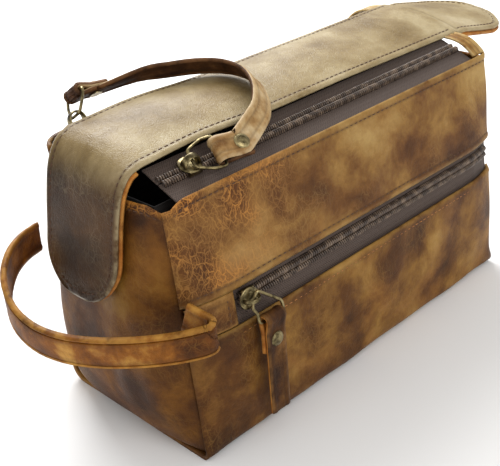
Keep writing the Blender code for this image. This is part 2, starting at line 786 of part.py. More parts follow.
def pull_strap(places):
    body = [Vector(point) for point in STRAP_ROUTE]
    ends = {}
    for word, bar, along, meets, tail_side in (
        ("front", FRONT_BAR, FRONT_BAR_ALONG, body[0], Vector((0, 1, -0.3))),
        ("rear", REAR_BAR, REAR_BAR_ALONG, body[-1], Vector((0, 1, 0.3))),
    ):
        near = bridge_centre(places[word])
        across = square(along, (bar - near).normalized())
        ring(f"{word}_pull_ring", near, across, bar, across)
        leave = square(meets - bar, across)
        ends[word] = (fold(bar, across, leave, tail_side, FOLD_TAIL), across, bar, leave)
    start = ends["front"][0]
    end = ends["rear"][0]
    route = start[:-1] + smooth_route([start[-1]] + body + [end[-1]], 3) + end[:-1][::-1]
    across = [lean(point) for point in route]
    for i in range(len(start)):
        across[i] = ends["front"][1].copy()
    for i in range(len(end)):
        across[-1 - i] = ends["rear"][1] * math.copysign(1.0, ends["rear"][1].z)
    blend_ends(across, len(start), 4)
    across.reverse()
    blend_ends(across, len(end), 4)
    across.reverse()
    square_to_route(route, across)
    strap = ribbon("pull_strap", route, across, STRAP_WIDTH, STRAP, PALE_LEATHER)
    for word, (_, along, bar, leave) in ends.items():
        side = square(square(Vector((0, bar.y, 0)), leave), along)
        centre = bar + leave * RIVET_SETBACK
        rivet(f"{word}_strap_rivet", centre, side)
        pierce(strap, f"{word}_rivet_hole", centre, side)


def blend_ends(directions, start, steps):
    """Turns the width direction smoothly from a folded end's to the body's."""
    first = directions[start - 1]
    for i in range(steps):
        share = (i + 1) / (steps + 1)
        directions[start + i] = (first * (1 - share) + directions[start + i] * share).normalized()


def square_to_route(route, directions):
    last = len(route) - 1
    for i, point in enumerate(route):
        along = (route[min(i + 1, last)] - route[max(i - 1, 0)]).normalized()
        directions[i] = (directions[i] - along * directions[i].dot(along)).normalized()


def pocket_pull():
    """The pocket's slider, its wire ring and the leather tab that hangs from the ring."""
    skin = front_point(POCKET_SLIDER_X, SLOT_MIDDLE, LEATHER + GAP)
    low = front_point(POCKET_SLIDER_X, SLOT_MIDDLE - 0.005, LEATHER + GAP)
    high = front_point(POCKET_SLIDER_X, SLOT_MIDDLE + 0.005, LEATHER + GAP)
    across = (high - low).normalized()
    place = track_matrix(skin, across, Vector((1, 0, 0)).cross(across))
    slider("pocket_slider", place, POCKET_BRIDGE_HALF_WIDTH)
    near = bridge_centre(place)
    bar = near + POCKET_RING_REACH
    level = Vector((1, 0, 0))
    ring("pocket_pull_ring", near, POCKET_RING_SLANT.normalized(), bar, level)
    hang = square(Vector((0.03, 0.012, -1.0)), level)
    outside = square(square(Vector((0, -1, 0)), hang), level)
    route = fold(bar, level, hang, -outside, POCKET_TAB_TAIL)
    for length in (0.028, 0.037, 0.046, POCKET_TAB_LENGTH):
        route.append(bar + hang * length + outside * LAYER_OFFSET)
    across = [level.copy() for _ in route]
    tab = ribbon("pocket_pull_tab", route, across, STRAP_WIDTH, STRAP, BROWN_LEATHER)
    centre = bar + hang * RIVET_SETBACK
    rivet("pocket_tab_rivet", centre, outside)
    pierce(tab, "pocket_rivet_hole", centre, outside)


def handle_loop():
    route = smooth_route(HANDLE_ROUTE, 3)
    across = [Vector((0, 0, 1)) for _ in route]
    square_to_route(route, across)
    ribbon("handle_loop", route, across, HANDLE_WIDTH, HANDLE, BROWN_LEATHER)


main_wrap()
front_panels()
end_panel("left_end_panel", -1, LEFT_END_BULGE)
end_panel("right_end_panel", 1, RIGHT_END_BULGE)
base_board()
lining()
pocket_bag()
pocket_zip()
lid_sheet("lid_panel", (LID_LEFT, LID_RIGHT), 0.0, LEATHER, BROWN_LEATHER)
lid_sheet(
    "lid_lining", (LID_LEFT + 0.003, LID_RIGHT - 0.006), LEATHER + GAP, FABRIC, LINING_CLOTH,
    LID_LINING_HALF_WIDTH,
)
tongues()
lid_zip("front", FRONT_LINE, FRONT_ZIP_LEFT)
lid_zip("rear", REAR_LINE, REAR_ZIP_LEFT)
SLIDER_PLACES = lid_sliders()
pull_strap(SLIDER_PLACES)
pocket_pull()
handle_loop()
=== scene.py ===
"""The looks of a leather toiletry bag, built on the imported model: distressed leather skins with stitched,
folded edges, coil zips, aged brass and the floor, light and camera they are seen with."""

import math

import bpy
import numpy as np
from mathutils import Matrix, Vector, noise


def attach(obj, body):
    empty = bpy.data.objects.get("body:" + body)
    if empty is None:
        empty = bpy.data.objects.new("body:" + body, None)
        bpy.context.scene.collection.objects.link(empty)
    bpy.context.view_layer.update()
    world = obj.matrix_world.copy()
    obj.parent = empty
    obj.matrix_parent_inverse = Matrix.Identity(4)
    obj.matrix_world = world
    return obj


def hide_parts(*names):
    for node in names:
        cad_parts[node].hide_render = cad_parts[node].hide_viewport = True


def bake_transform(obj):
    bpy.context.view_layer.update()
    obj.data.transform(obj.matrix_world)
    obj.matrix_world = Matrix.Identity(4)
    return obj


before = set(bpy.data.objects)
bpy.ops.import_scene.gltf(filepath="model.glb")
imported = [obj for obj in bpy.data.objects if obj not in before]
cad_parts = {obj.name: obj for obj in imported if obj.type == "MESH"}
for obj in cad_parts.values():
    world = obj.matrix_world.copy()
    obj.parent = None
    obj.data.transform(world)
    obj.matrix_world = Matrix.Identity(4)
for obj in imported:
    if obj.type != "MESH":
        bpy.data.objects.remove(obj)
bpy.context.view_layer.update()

# Camera, at the place and angle the bag is seen from
CAMERA_PLACE = Vector((-0.34887, -0.34868, 0.31930))
CAMERA_BACK = Vector((-0.59555, -0.65338, 0.46736))
CAMERA_ROLL = math.radians(-5.335)
CAMERA_LENS = 68.9


def make_camera():
    data = bpy.data.cameras.new("view")
    data.lens = CAMERA_LENS
    data.sensor_width = 36.0
    data.sensor_fit = "HORIZONTAL"
    data.clip_start = 0.01
    camera = bpy.data.objects.new("view", data)
    back = CAMERA_BACK.normalized()
    right = Vector((0, 0, 1)).cross(back).normalized()
    up = back.cross(right)
    turned_right = right * math.cos(CAMERA_ROLL) + up * math.sin(CAMERA_ROLL)
    turned_up = up * math.cos(CAMERA_ROLL) - right * math.sin(CAMERA_ROLL)
    for i, axis in enumerate((turned_right, turned_up, back)):
        camera.matrix_world.col[i][0:3] = axis
    camera.matrix_world.col[3][0:3] = CAMERA_PLACE
    bpy.context.scene.collection.objects.link(camera)
    bpy.context.scene.camera = camera


make_camera()

# ---------------------------------------------------------------- the bag's own measures

HALF_LENGTH = 0.125
HALF_DEPTH_BASE = 0.059
HALF_DEPTH_RIM = 0.0495
RIM_HEIGHT = 0.139
REAR_RIM_HEIGHT = 0.147
FRONT_CORNER = 0.006
REAR_CORNER = 0.012
FACE_BULGE = 0.006
LEATHER = 0.002
GAP = 0.0004
END_INSET = 0.0022
LEFT_END_BULGE = 0.017
RIGHT_END_BULGE = 0.005
END_RIM = 0.137
FLAT_REACH = 0.092
PINCH = 0.0105
PINCH_START = 0.104
SLOT_LOW = 0.068
SLOT_HIGH = 0.0870
SLOT_MIDDLE = 0.0798
PATCH_RIGHT = -0.098
LID_LEFT = -0.117
LID_RIGHT = 0.1262
LID_HALF_WIDTH = 0.028
LID_FRONT_HEIGHT = 0.150
LID_REAR_HEIGHT = 0.157
LID_CROWN = 0.0035
LID_SWELL = 0.002
LID_SETTLE = 0.0022
TONGUE_BACKING = 0.0018
TONGUE_TIP_RADIUS = 0.024
TAPE_INNER_Y = 0.0245
FRONT_TAPE_OUTER_Y = 0.0468
REAR_TAPE_OUTER_Y = 0.0460
FRONT_TAPE_OUTER_Z = 0.1372
REAR_TAPE_OUTER_Z = 0.1452
FRONT_TAPE_INNER_Z = 0.1466
REAR_TAPE_INNER_Z = 0.1540
CHAIN_SHARE = 0.47
FRONT_ZIP_LEFT = -0.1155
REAR_ZIP_LEFT = -0.110
CORNER_DROP = 0.0035
BAND_LEFT = 0.1130
BAND_RIGHT = 0.1240
ZIP_RIGHT = 0.113
COIL_WIDTH = 0.0032
COIL_HEIGHT = 0.0023
CHAIN_HALF_GAP = 0.0002

# Sewing and coil, as they show on the surface
STITCH_SET = 0.0040
STITCH_PITCH = 0.0036
STITCH_LENGTH = 0.0027
STITCH_RADIUS = 0.00034
TOOTH_PITCH = 0.00145
TOOTH_RADIUS = 0.00056


def half_depth(z):
    return HALF_DEPTH_BASE + (HALF_DEPTH_RIM - HALF_DEPTH_BASE) * z / RIM_HEIGHT


def swell(x, z):
    upright = math.sin(math.pi * min(max(z / RIM_HEIGHT, 0.0), 1.0))
    fade = min(max((abs(x) - FLAT_REACH) / (HALF_LENGTH - FLAT_REACH), 0.0), 1.0)
    return FACE_BULGE * upright * (1 - fade**2)


def rear_pinch(x, z):
    share = min(max((-x - PINCH_START) / (HALF_LENGTH - PINCH_START), 0.0), 1.0)
    return PINCH * share**3 * max(z / REAR_RIM_HEIGHT, 0.0) ** 1.5


def lid_height(x, y):
    across = y / LID_HALF_WIDTH
    edge = LID_FRONT_HEIGHT + (LID_REAR_HEIGHT - LID_FRONT_HEIGHT) * (across + 1) / 2
    lift = LID_SWELL * math.exp(-(((x + 0.08) / 0.03) ** 2))
    settle = LID_SETTLE * min(max((x - 0.02) / 0.1, 0.0), 1.0) * (1 - across) / 2
    return edge + LID_CROWN * (1 - across**2) + lift - settle


def smooth_route(points, steps):
    """A Catmull-Rom route through points, with steps pieces between each pair."""
    points = [Vector(p) for p in points]
    ends = [2 * points[0] - points[1]] + points + [2 * points[-1] - points[-2]]
    route = []
    for i in range(1, len(ends) - 2):
        a, b, c, d = ends[i - 1 : i + 3]
        for step in range(steps):
            t = step / steps
            bend = (2 * a - 5 * b + 4 * c - d) * t**2 + (3 * b - a - 3 * c + d) * t**3
            route.append(0.5 * (2 * b + (c - a) * t + bend))
    route.append(points[-1])
    return route


def even_route(points, spacing):
    """Points at even distances along a broken line."""
    lengths = [0.0]
    for a, b in zip(points, points[1:]):
        lengths.append(lengths[-1] + (Vector(b) - Vector(a)).length)
    count = max(int(lengths[-1] / spacing), 1)
    wanted = np.linspace(0, lengths[-1], count + 1)
    columns = [np.interp(wanted, lengths, [p[k] for p in points]) for k in range(3)]
    return [Vector(point) for point in zip(*columns)]


# ---------------------------------------------------------------- materials


class Tree:
    """A small writer of node trees: each call adds one node, sets or links its inputs, and returns it."""

    def __init__(self, name):
        self.material = bpy.data.materials.new(name)
        self.material.use_nodes = True
        self.nodes = self.material.node_tree.nodes
        self.links = self.material.node_tree.links
        self.shader = self.nodes["Principled BSDF"]

    def feed(self, node, inputs):
        for key, value in inputs.items():
            socket = node.inputs[key]
            if isinstance(value, bpy.types.NodeSocket):
                self.links.new(value, socket)
            else:
                socket.default_value = value

    def add(self, kind, inputs=None, **settings):
        node = self.nodes.new(kind)
        for key, value in settings.items():
            setattr(node, key, value)
        self.feed(node, inputs or {})
        return node

    def scaled(self, vector, shares):
        return self.add("ShaderNodeVectorMath", {0: vector, 1: shares}, operation="MULTIPLY").outputs[0]

    def math(self, operation, a, b=0.0, clamp=False):
        return self.add("ShaderNodeMath", {0: a, 1: b}, operation=operation, use_clamp=clamp).outputs[0]

    def mix(self, share, a, b, blend="MIX"):
        node = self.add("ShaderNodeMix", data_type="RGBA", blend_type=blend)
        self.feed(node, {0: share, 6: a, 7: b})
        return node.outputs[2]

    def ramp(self, value, stops):
        node = self.add("ShaderNodeValToRGB", {0: value})
        elements = node.color_ramp.elements
        while len(elements) < len(stops):
            elements.new(0.5)
        for element, (position, colour) in zip(elements, stops):
            element.position = position
            element.color = colour if len(colour) == 4 else (*colour, 1.0)
        return node.outputs[0]

    def fade(self, value, low, high):
        """0 below low and 1 above high."""
        node = self.add("ShaderNodeMapRange", {0: value, 1: low, 2: high}, interpolation_type="SMOOTHSTEP")
        return node.outputs[0]

    def noise(self, place, scale, detail=3.0, roughness=0.55, distortion=0.0):
        inputs = {"Vector": place, "Scale": scale, "Detail": detail, "Roughness": roughness}
        node = self.add("ShaderNodeTexNoise", inputs)
        node.inputs["Distortion"].default_value = distortion
        return node.outputs["Fac"]

    def cells(self, place, scale, feature="DISTANCE_TO_EDGE"):
        return self.add("ShaderNodeTexVoronoi", {"Vector": place, "Scale": scale}, feature=feature).outputs[0]


def srgb(red, green, blue):
    """A linear colour from the 0 to 255 numbers of a screen colour."""
    return tuple(((c / 255 + 0.055) / 1.055) ** 2.4 if c > 10 else c / 3294 for c in (red, green, blue))


def attribute(tree, name):
    return tree.add("ShaderNodeAttribute", attribute_name=name).outputs["Fac"]


def leather(name, deep, brown, golden, pale, patch, balance, crackle, fire, rough=0.5):
    """Oiled, distressed hide: cloudy patches from deep to pale, an orange glow, a net of rubbed creases,
    fine grain, and edges worn paler. The attribute 'wear' is 1 at a worn edge, and 'fire' marks where the
    creases open up and glow orange."""
    tree = Tree(name)
    place = tree.add("ShaderNodeTexCoord").outputs["Object"]
    drift = tree.add("ShaderNodeTexNoise", {"Vector": place, "Scale": 30.0, "Detail": 2.0}).outputs["Color"]
    drift = tree.scaled(drift, (0.018, 0.018, 0.018))
    warped = tree.add("ShaderNodeVectorMath", {0: place, 1: drift}, operation="ADD").outputs[0]
    clouds = tree.noise(warped, patch, 6.0, 0.58)
    clouds = tree.math("ADD", clouds, balance)
    colour = tree.ramp(clouds, [(0.34, deep), (0.45, brown), (0.56, golden), (0.68, pale)])
    glow = tree.fade(tree.noise(warped, patch * 0.8, 3.0, 0.6, 0.4), 0.5, 0.68)
    glow = tree.math("MULTIPLY", glow, fire)
    hot = attribute(tree, "fire")
    glow = tree.math("MAXIMUM", glow, tree.math("MULTIPLY", hot, 0.75))
    ember = tree.mix(tree.fade(clouds, 0.38, 0.66), (*srgb(70, 36, 16), 1), (*srgb(132, 78, 32), 1))
    colour = tree.mix(glow, colour, ember)
    # Painted shade: where the attribute 'dark' is set, the colour turns to this darker brown palette.
    painted_shade_colour = tree.mix(tree.fade(clouds, 0.36, 0.7), (*srgb(42, 25, 9), 1), (*srgb(84, 55, 24), 1))
    colour = tree.mix(attribute(tree, "dark"), colour, painted_shade_colour)
    small = tree.noise(place, 420.0, 4.0, 0.65)
    shade = tree.ramp(small, [(0.25, (0.45, 0.42, 0.4)), (0.75, (1.0, 1.0, 1.0))])
    colour = tree.mix(0.35, colour, shade, "MULTIPLY")
    shaken = tree.add("ShaderNodeTexNoise", {"Vector": place, "Scale": 190.0, "Detail": 3.0}).outputs["Color"]
    shaken = tree.scaled(shaken, (0.005, 0.005, 0.005))
    shaken = tree.add("ShaderNodeVectorMath", {0: warped, 1: shaken}, operation="ADD").outputs[0]
    shaken = tree.scaled(shaken, (1.3, 1.0, 0.72))
    wide = tree.cells(shaken, 215.0)
    narrow = tree.cells(shaken, 460.0)
    creases = tree.math("SUBTRACT", 1.0, tree.fade(wide, 0.0, 0.075))
    hairs = tree.math("SUBTRACT", 1.0, tree.fade(narrow, 0.0, 0.11))
    where = tree.fade(tree.noise(place, 34.0, 3.0), 0.46, 0.64)
    lines = tree.math("MAXIMUM", tree.math("MULTIPLY", creases, 1.0), tree.math("MULTIPLY", hairs, 0.55))
    shown = tree.math("MULTIPLY", lines, tree.math("MAXIMUM", tree.math("MULTIPLY", where, crackle), hot))
    bright = tree.mix(hot, (*pale[:3], 1), (*srgb(198, 132, 56), 1))
    share = tree.math("MULTIPLY", shown, tree.math("ADD", 0.4, tree.math("MULTIPLY", hot, 0.5)))
    colour = tree.mix(share, colour, bright)
    wear = attribute(tree, "wear")
    scuff = tree.math("MULTIPLY", wear, tree.fade(tree.noise(place, 160.0, 4.0), 0.3, 0.62))
    colour = tree.mix(tree.math("MULTIPLY", scuff, 0.6), colour, bright)
    seam = attribute(tree, "seam")
    colour = tree.mix(tree.math("MULTIPLY", seam, 0.55), colour, (*srgb(44, 26, 14), 1))
    grain = tree.math("SUBTRACT", 1.0, tree.fade(tree.cells(place, 900.0), 0.0, 0.22))
    height = tree.math("ADD", tree.math("MULTIPLY", small, 0.35), tree.math("MULTIPLY", grain, -0.25))
    height = tree.math("ADD", height, tree.math("MULTIPLY", lines, -0.4))
    bump = tree.add("ShaderNodeBump", {"Height": height})
    bump.inputs["Strength"].default_value = 0.32
    bump.inputs["Distance"].default_value = 0.0006
    polish = tree.noise(place, 60.0, 4.0)
    roughness = tree.add("ShaderNodeMapRange", {0: polish, 3: rough - 0.12, 4: rough + 0.16}).outputs[0]
    tree.feed(tree.shader, {"Base Color": colour, "Roughness": roughness, "Normal": bump.outputs[0]})
    tree.shader.inputs["Specular IOR Level"].default_value = 0.16
    return tree.material


BODY_HIDE = leather(
    "body_hide", srgb(62, 35, 10), srgb(96, 59, 20), srgb(136, 96, 40), srgb(166, 128, 66),
    26.0, -0.02, 0.5, 0.45,
)
FRONT_HIDE = leather(
    "front_hide", srgb(74, 43, 15), srgb(108, 69, 28), srgb(146, 108, 54), srgb(174, 141, 84),
    24.0, 0.01, 0.5, 0.4,
)
END_HIDE = leather(
    "end_hide", srgb(52, 26, 3), srgb(80, 45, 8), srgb(114, 72, 18), srgb(140, 102, 40),
    26.0, -0.01, 0.5, 0.35,
)
# Paler, greyer palette than the body hide: partly the leather's own tone, partly painted sheen from the top
# light on the lid and tongues.
LID_HIDE = leather(
    "lid_hide", srgb(100, 78, 42), srgb(132, 111, 72), srgb(160, 141, 102), srgb(184, 168, 132),
    18.0, 0.03, 0.3, 0.1, 0.36,
)
UNDER_HIDE = leather(
    "under_hide", srgb(104, 56, 16), srgb(142, 80, 26), srgb(180, 110, 42), srgb(206, 146, 72),
    40.0, 0.0, 0.3, 0.5, 0.6,
)
BAND_HIDE = leather(
    "band_hide", srgb(112, 72, 26), srgb(144, 102, 46), srgb(176, 140, 80), srgb(204, 178, 126),
    50.0, 0.02, 0.3, 0.3, 0.5,
)
# Paler, greyer palette on the strap's outer face: partly the leather's own tan, partly painted sheen from the
# top light.
STRAP_HIDE = leather(
    "strap_hide", srgb(124, 86, 44), srgb(160, 124, 76), srgb(186, 156, 110), srgb(206, 184, 146),
    60.0, 0.05, 0.6, 0.2, 0.5,
)
STRAP_BACK = leather(
    "strap_back", srgb(40, 23, 12), srgb(62, 37, 20), srgb(86, 55, 31), srgb(120, 84, 52),
    60.0, 0.0, 0.3, 0.1, 0.6,
)
HANDLE_HIDE = leather(
    "handle_hide", srgb(70, 36, 6), srgb(104, 58, 12), srgb(140, 84, 22), srgb(188, 138, 62),
    50.0, 0.02, 0.4, 0.5, 0.45,
)
TAB_HIDE = leather(
    "tab_hide", srgb(48, 25, 7), srgb(70, 40, 13), srgb(92, 58, 22), srgb(146, 104, 56),
    60.0, -0.01, 0.3, 0.1, 0.5,
)


def woven(name, base, thread, scale, rough=0.85):
    """A herringbone of fine threads."""
    tree = Tree(name)
    place = tree.add("ShaderNodeTexCoord").outputs["Object"]
    split = tree.add("ShaderNodeSeparateXYZ", {0: place})
    rows = tree.math("PINGPONG", tree.math("ADD", split.outputs[1], split.outputs[2]), 0.0016)
    run = tree.math("ADD", split.outputs[0], rows)
    ridge = tree.math("SINE", tree.math("MULTIPLY", run, scale))
    ridge = tree.math("ADD", tree.math("MULTIPLY", ridge, 0.5), 0.5)
    fuzz = tree.noise(place, 900.0, 3.0)
    height = tree.math("ADD", ridge, tree.math("MULTIPLY", fuzz, 0.5))
    colour = tree.mix(tree.math("MULTIPLY", height, 0.66, True), (*base, 1), (*thread, 1))
    bump = tree.add("ShaderNodeBump", {"Height": height})
    bump.inputs["Strength"].default_value = 0.5
    bump.inputs["Distance"].default_value = 0.0003
    tree.feed(tree.shader, {"Base Color": colour, "Normal": bump.outputs[0]})
    tree.shader.inputs["Roughness"].default_value = rough
    tree.shader.inputs["Sheen Weight"].default_value = 0.12
    return tree.material


TAPE_CLOTH = woven("tape_weave", srgb(44, 32, 26), srgb(90, 72, 61), 4600.0)
LINING_CLOTH = woven("lining_weave", srgb(24, 20, 18), srgb(44, 38, 34), 7000.0, 0.9)


def coil_finish():
    tree = Tree("coil_nylon")
    place = tree.add("ShaderNodeTexCoord").outputs["Object"]
    dust = tree.noise(place, 260.0, 4.0)
    colour = tree.mix(tree.fade(dust, 0.4, 0.7), (*srgb(62, 48, 38), 1), (*srgb(128, 108, 90), 1))
    roughness = tree.add("ShaderNodeMapRange", {0: dust, 3: 0.2, 4: 0.42}).outputs[0]
    tree.feed(tree.shader, {"Base Color": colour, "Roughness": roughness})
    return tree.material


def brass_finish():
    """Aged brass: dark in the hollows, with rubbed golden and slightly green patches."""
    tree = Tree("aged_brass")
    place = tree.add("ShaderNodeTexCoord").outputs["Object"]
    patina = tree.noise(place, 240.0, 5.0, 0.6)
    pointed = tree.add("ShaderNodeNewGeometry").outputs["Pointiness"]
    rubbed = tree.math("ADD", patina, tree.math("MULTIPLY", tree.math("SUBTRACT", pointed, 0.5), 2.2))
    stops = [(0.38, srgb(40, 34, 24)), (0.54, srgb(88, 78, 54)), (0.7, srgb(150, 136, 98))]
    colour = tree.ramp(rubbed, stops)
    roughness = tree.add("ShaderNodeMapRange", {0: patina, 3: 0.42, 4: 0.22}).outputs[0]
    scratch = tree.add("ShaderNodeBump", {"Height": tree.noise(place, 1500.0, 4.0)})
    scratch.inputs["Strength"].default_value = 0.12
    scratch.inputs["Distance"].default_value = 0.0002
    tree.feed(tree.shader, {"Base Color": colour, "Roughness": roughness, "Normal": scratch.outputs[0]})
    tree.shader.inputs["Metallic"].default_value = 1.0
    return tree.material


def thread_finish(name, dark, light):
    tree = Tree(name)
    place = tree.add("ShaderNodeTexCoord").outputs["Object"]
    twist = tree.noise(place, 1800.0, 3.0)
    colour = tree.mix(tree.fade(twist, 0.35, 0.65), (*dark, 1), (*light, 1))
    tree.feed(tree.shader, {"Base Color": colour})
    tree.shader.inputs["Roughness"].default_value = 0.7
    return tree.material


def fibre_finish():
    tree = Tree("board_fibre")
    place = tree.add("ShaderNodeTexCoord").outputs["Object"]
    fleck = tree.noise(place, 500.0, 4.0)
    tree.feed(tree.shader, {"Base Color": tree.mix(fleck, (*srgb(96, 78, 56), 1), (*srgb(150, 128, 98), 1))})
    tree.shader.inputs["Roughness"].default_value = 0.85
    return tree.material


COIL_NYLON = coil_finish()
AGED_BRASS = brass_finish()
BROWN_THREAD = thread_finish("brown_thread", srgb(52, 30, 16), srgb(92, 58, 32))
AMBER_THREAD = thread_finish("amber_thread", srgb(124, 72, 30), srgb(178, 118, 60))
BOARD_FIBRE = fibre_finish()

# ---------------------------------------------------------------- making pieces


def add_mesh(name, points, faces, material, body, smooth=True):
    mesh = bpy.data.meshes.new(name)
    mesh.from_pydata([tuple(p) for p in points], [], faces)
    mesh.materials.append(material)
    if smooth:
        mesh.shade_smooth()
    obj = bpy.data.objects.new(name, mesh)
    bpy.context.scene.collection.objects.link(obj)
    if body:
        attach(obj, body)
    return obj


def paint(obj, name, values):
    layer = obj.data.attributes.new(name, "FLOAT", "POINT")
    layer.data.foreach_set("value", np.asarray(values, np.float32))


def ease(value):
    value = min(max(value, 0.0), 1.0)
    return value * value * (3 - 2 * value)


def lumps(point, seed, size):
    """Soft unevenness of hide, between about -1 and 1."""
    return noise.noise(point / size + Vector((seed, 2 * seed, 3 * seed)))


def hide(name, columns, rows, place, thickness, material, body, nodes, edges="", seed=0.0,
         unevenness=0.0006, size=0.02, side=-1.0, heat=None, back=None):
    """A sheet of leather on place(u, v). edges names the sewn, folded edges out of l, r, b and t, where the
    face rounds off and a stitch line sinks in. heat(point) is how open and orange the creases are."""
    us = np.linspace(0, 1, columns + 1)
    vs = np.linspace(0, 1, rows + 1)
    base = [[place(u, v) for u in us] for v in vs]
    points, wear, seam, fire = [], [], [], []
    for j in range(rows + 1):
        for i in range(columns + 1):
            here = base[j][i]
            along = base[j][min(i + 1, columns)] - base[j][max(i - 1, 0)]
            upward = base[min(j + 1, rows)][i] - base[max(j - 1, 0)][i]
            normal = along.cross(upward).normalized() * -side
            gaps = {"l": (here - base[j][0]).length, "r": (here - base[j][columns]).length,
                    "b": (here - base[0][i]).length, "t": (here - base[rows][i]).length}
            near = min([gaps[e] for e in edges], default=1.0)
            rounded = 0.0007 * (1 - ease(near / 0.0016))
            groove = 0.00045 * math.exp(-(((near - STITCH_SET) / 0.0007) ** 2))
            hem = 0.0004 * (1 - ease((near - 0.0042) / 0.0015))
            body_lumps = unevenness * lumps(here, seed, size) * ease(near / 0.01)
            skin = here + normal * (hem + body_lumps - rounded - groove)
            skin.z = max(skin.z, 0.0)
            points.append(skin)
            wear.append(1 - ease(near / 0.0022))
            seam.append(math.exp(-(((near - STITCH_SET) / 0.0005) ** 2)) * 0.8)
            fire.append(heat(here) if heat else 0.0)
    width = columns + 1
    faces = [(j * width + i, j * width + i + 1, (j + 1) * width + i + 1, (j + 1) * width + i)
             for j in range(rows) for i in range(columns)]
    obj = add_mesh(name, points, faces, material, body)
    paint(obj, "wear", wear)
    paint(obj, "seam", seam)
    paint(obj, "fire", fire)
    if back:
        obj.data.materials.append(back)
    solid = obj.modifiers.new("thickness", "SOLIDIFY")
    solid.thickness = thickness
    solid.offset = side
    if back:
        solid.material_offset = 1
        solid.material_offset_rim = 1
    if nodes:
        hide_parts(*nodes)
    return obj


def stitches(name, route, normals, thread, body, pitch=STITCH_PITCH, length=STITCH_LENGTH):
    """A row of short thread ends that dip into the leather at both ends."""
    spots = even_route(route, pitch)
    points, faces = [], []
    sides = 5
    for k in range(len(spots) - 1):
        a, b = spots[k], spots[k + 1]
        along = (b - a).normalized()
        share = k / max(len(spots) - 2, 1) * (len(normals) - 1)
        up = Vector(normals[int(round(share))]).normalized()
        across = along.cross(up).normalized()
        up = across.cross(along)
        middle = (a + b) / 2
        start = len(points)
        for t, radius, lift in ((-0.5, 0.35, -0.6), (-0.28, 1.0, 0.25), (0.28, 1.0, 0.25), (0.5, 0.35, -0.6)):
            centre = middle + along * (t * length) + up * (lift * STITCH_RADIUS)
            for s in range(sides):
                turn = math.tau * s / sides
                rim = across * math.cos(turn) + up * math.sin(turn)
                points.append(centre + rim * (radius * STITCH_RADIUS))
        for ring in range(3):
            for s in range(sides):
                low = start + ring * sides
                faces.append((low + s, low + (s + 1) % sides, low + sides + (s + 1) % sides, low + sides + s))
        faces.append(tuple(start + s for s in reversed(range(sides))))
        faces.append(tuple(start + 3 * sides + s for s in range(sides)))
    return add_mesh(name, points, faces, thread, body)


def edge_route(place, start, end, count=60):
    """Points on place from (u, v) start to end, and the surface normals there."""
    points, normals = [], []
    step = 1e-3
    for k in range(count + 1):
        t = k / count
        u = start[0] + (end[0] - start[0]) * t
        v = start[1] + (end[1] - start[1]) * t
        here = place(u, v)
        du = place(min(u + step, 1), v) - place(max(u - step, 0), v)
        dv = place(u, min(v + step, 1)) - place(u, max(v - step, 0))
        points.append(here)
        normals.append(du.cross(dv).normalized())
    return points, normals


# ---------------------------------------------------------------- body skins


def resampled(outline, count):
    """place(v) along a broken (y, z) line, even in length."""
    steps = [0.0]
    for a, b in zip(outline, outline[1:]):
        steps.append(steps[-1] + math.dist(a, b))
    steps = np.asarray(steps) / steps[-1]
    ys = [p[0] for p in outline]
    zs = [p[1] for p in outline]
    return lambda v: (float(np.interp(v, steps, ys)), float(np.interp(v, steps, zs)))


def arc(centre_y, centre_z, radius, start, end, steps=10):
    angles = [math.radians(start + (end - start) * i / steps) for i in range(steps + 1)]
    return [(centre_y + radius * math.cos(a), centre_z + radius * math.sin(a)) for a in angles]


def wrap_place():
    front = half_depth(FRONT_CORNER)
    rear = half_depth(REAR_CORNER)
    outline = [(-half_depth(z), z) for z in np.linspace(SLOT_LOW, FRONT_CORNER + 0.001, 24)]
    outline += arc(-front + FRONT_CORNER, FRONT_CORNER, FRONT_CORNER, 180, 270)
    outline += [(-0.02, 0.0), (0.012, 0.0)]
    outline += arc(rear - REAR_CORNER, REAR_CORNER, REAR_CORNER, 270, 360)
    outline += [(half_depth(z), z) for z in np.linspace(REAR_CORNER + 0.001, REAR_RIM_HEIGHT, 40)]
    along = resampled(outline, 100)

    def place(u, v):
        x = HALF_LENGTH * (2 * u - 1)
        y, z = along(v)
        y += math.copysign(swell(x, z), y)
        if y > 0:
            y -= rear_pinch(x, z)
        turned = 0.0022 * (1 - ease((HALF_LENGTH - abs(x)) / 0.004)) * ease(z / 0.01)
        return Vector((x, y - math.copysign(turned, y), z))

    return place


def upper_place(u, v):
    x = HALF_LENGTH * (2 * u - 1)
    rim = RIM_HEIGHT - CORNER_DROP * (1 - ease((x + HALF_LENGTH) / 0.012))
    z = SLOT_HIGH + (rim - SLOT_HIGH) * v
    turned = 0.0022 * (1 - ease((HALF_LENGTH - abs(x)) / 0.004))
    return Vector((x, -(half_depth(z) + swell(x, z)) + turned, z))


def crackled(point):
    """The upper front's left end, where the hide has cracked open."""
    left = ease((-0.035 - point.x + 0.6 * (point.z - 0.11)) / 0.05)
    level = ease((point.z - 0.088) / 0.006)
    patchy = 0.65 + 0.5 * lumps(point, 4.0, 0.016)
    return max(min(left * level * patchy, 1.0), 0.0)


def glowing(point):
    """The wrap's front left corner, a little reddened along the seam."""
    return 0.35 * ease((-0.112 - point.x) / 0.012) * (0.5 + 0.5 * lumps(point, 7.0, 0.012))


def lipped(point):
    """The end panels' top hem, folded over and left orange."""
    return 0.8 * ease((point.z - 0.1305) / 0.003)


def inner_half_width(z, corner, margin):
    width = half_depth(z) - margin
    radius = corner - margin
    rise = z - margin
    if rise < radius:
        width -= radius - math.sqrt(max(radius**2 - (radius - rise) ** 2, 0.0))
    return width


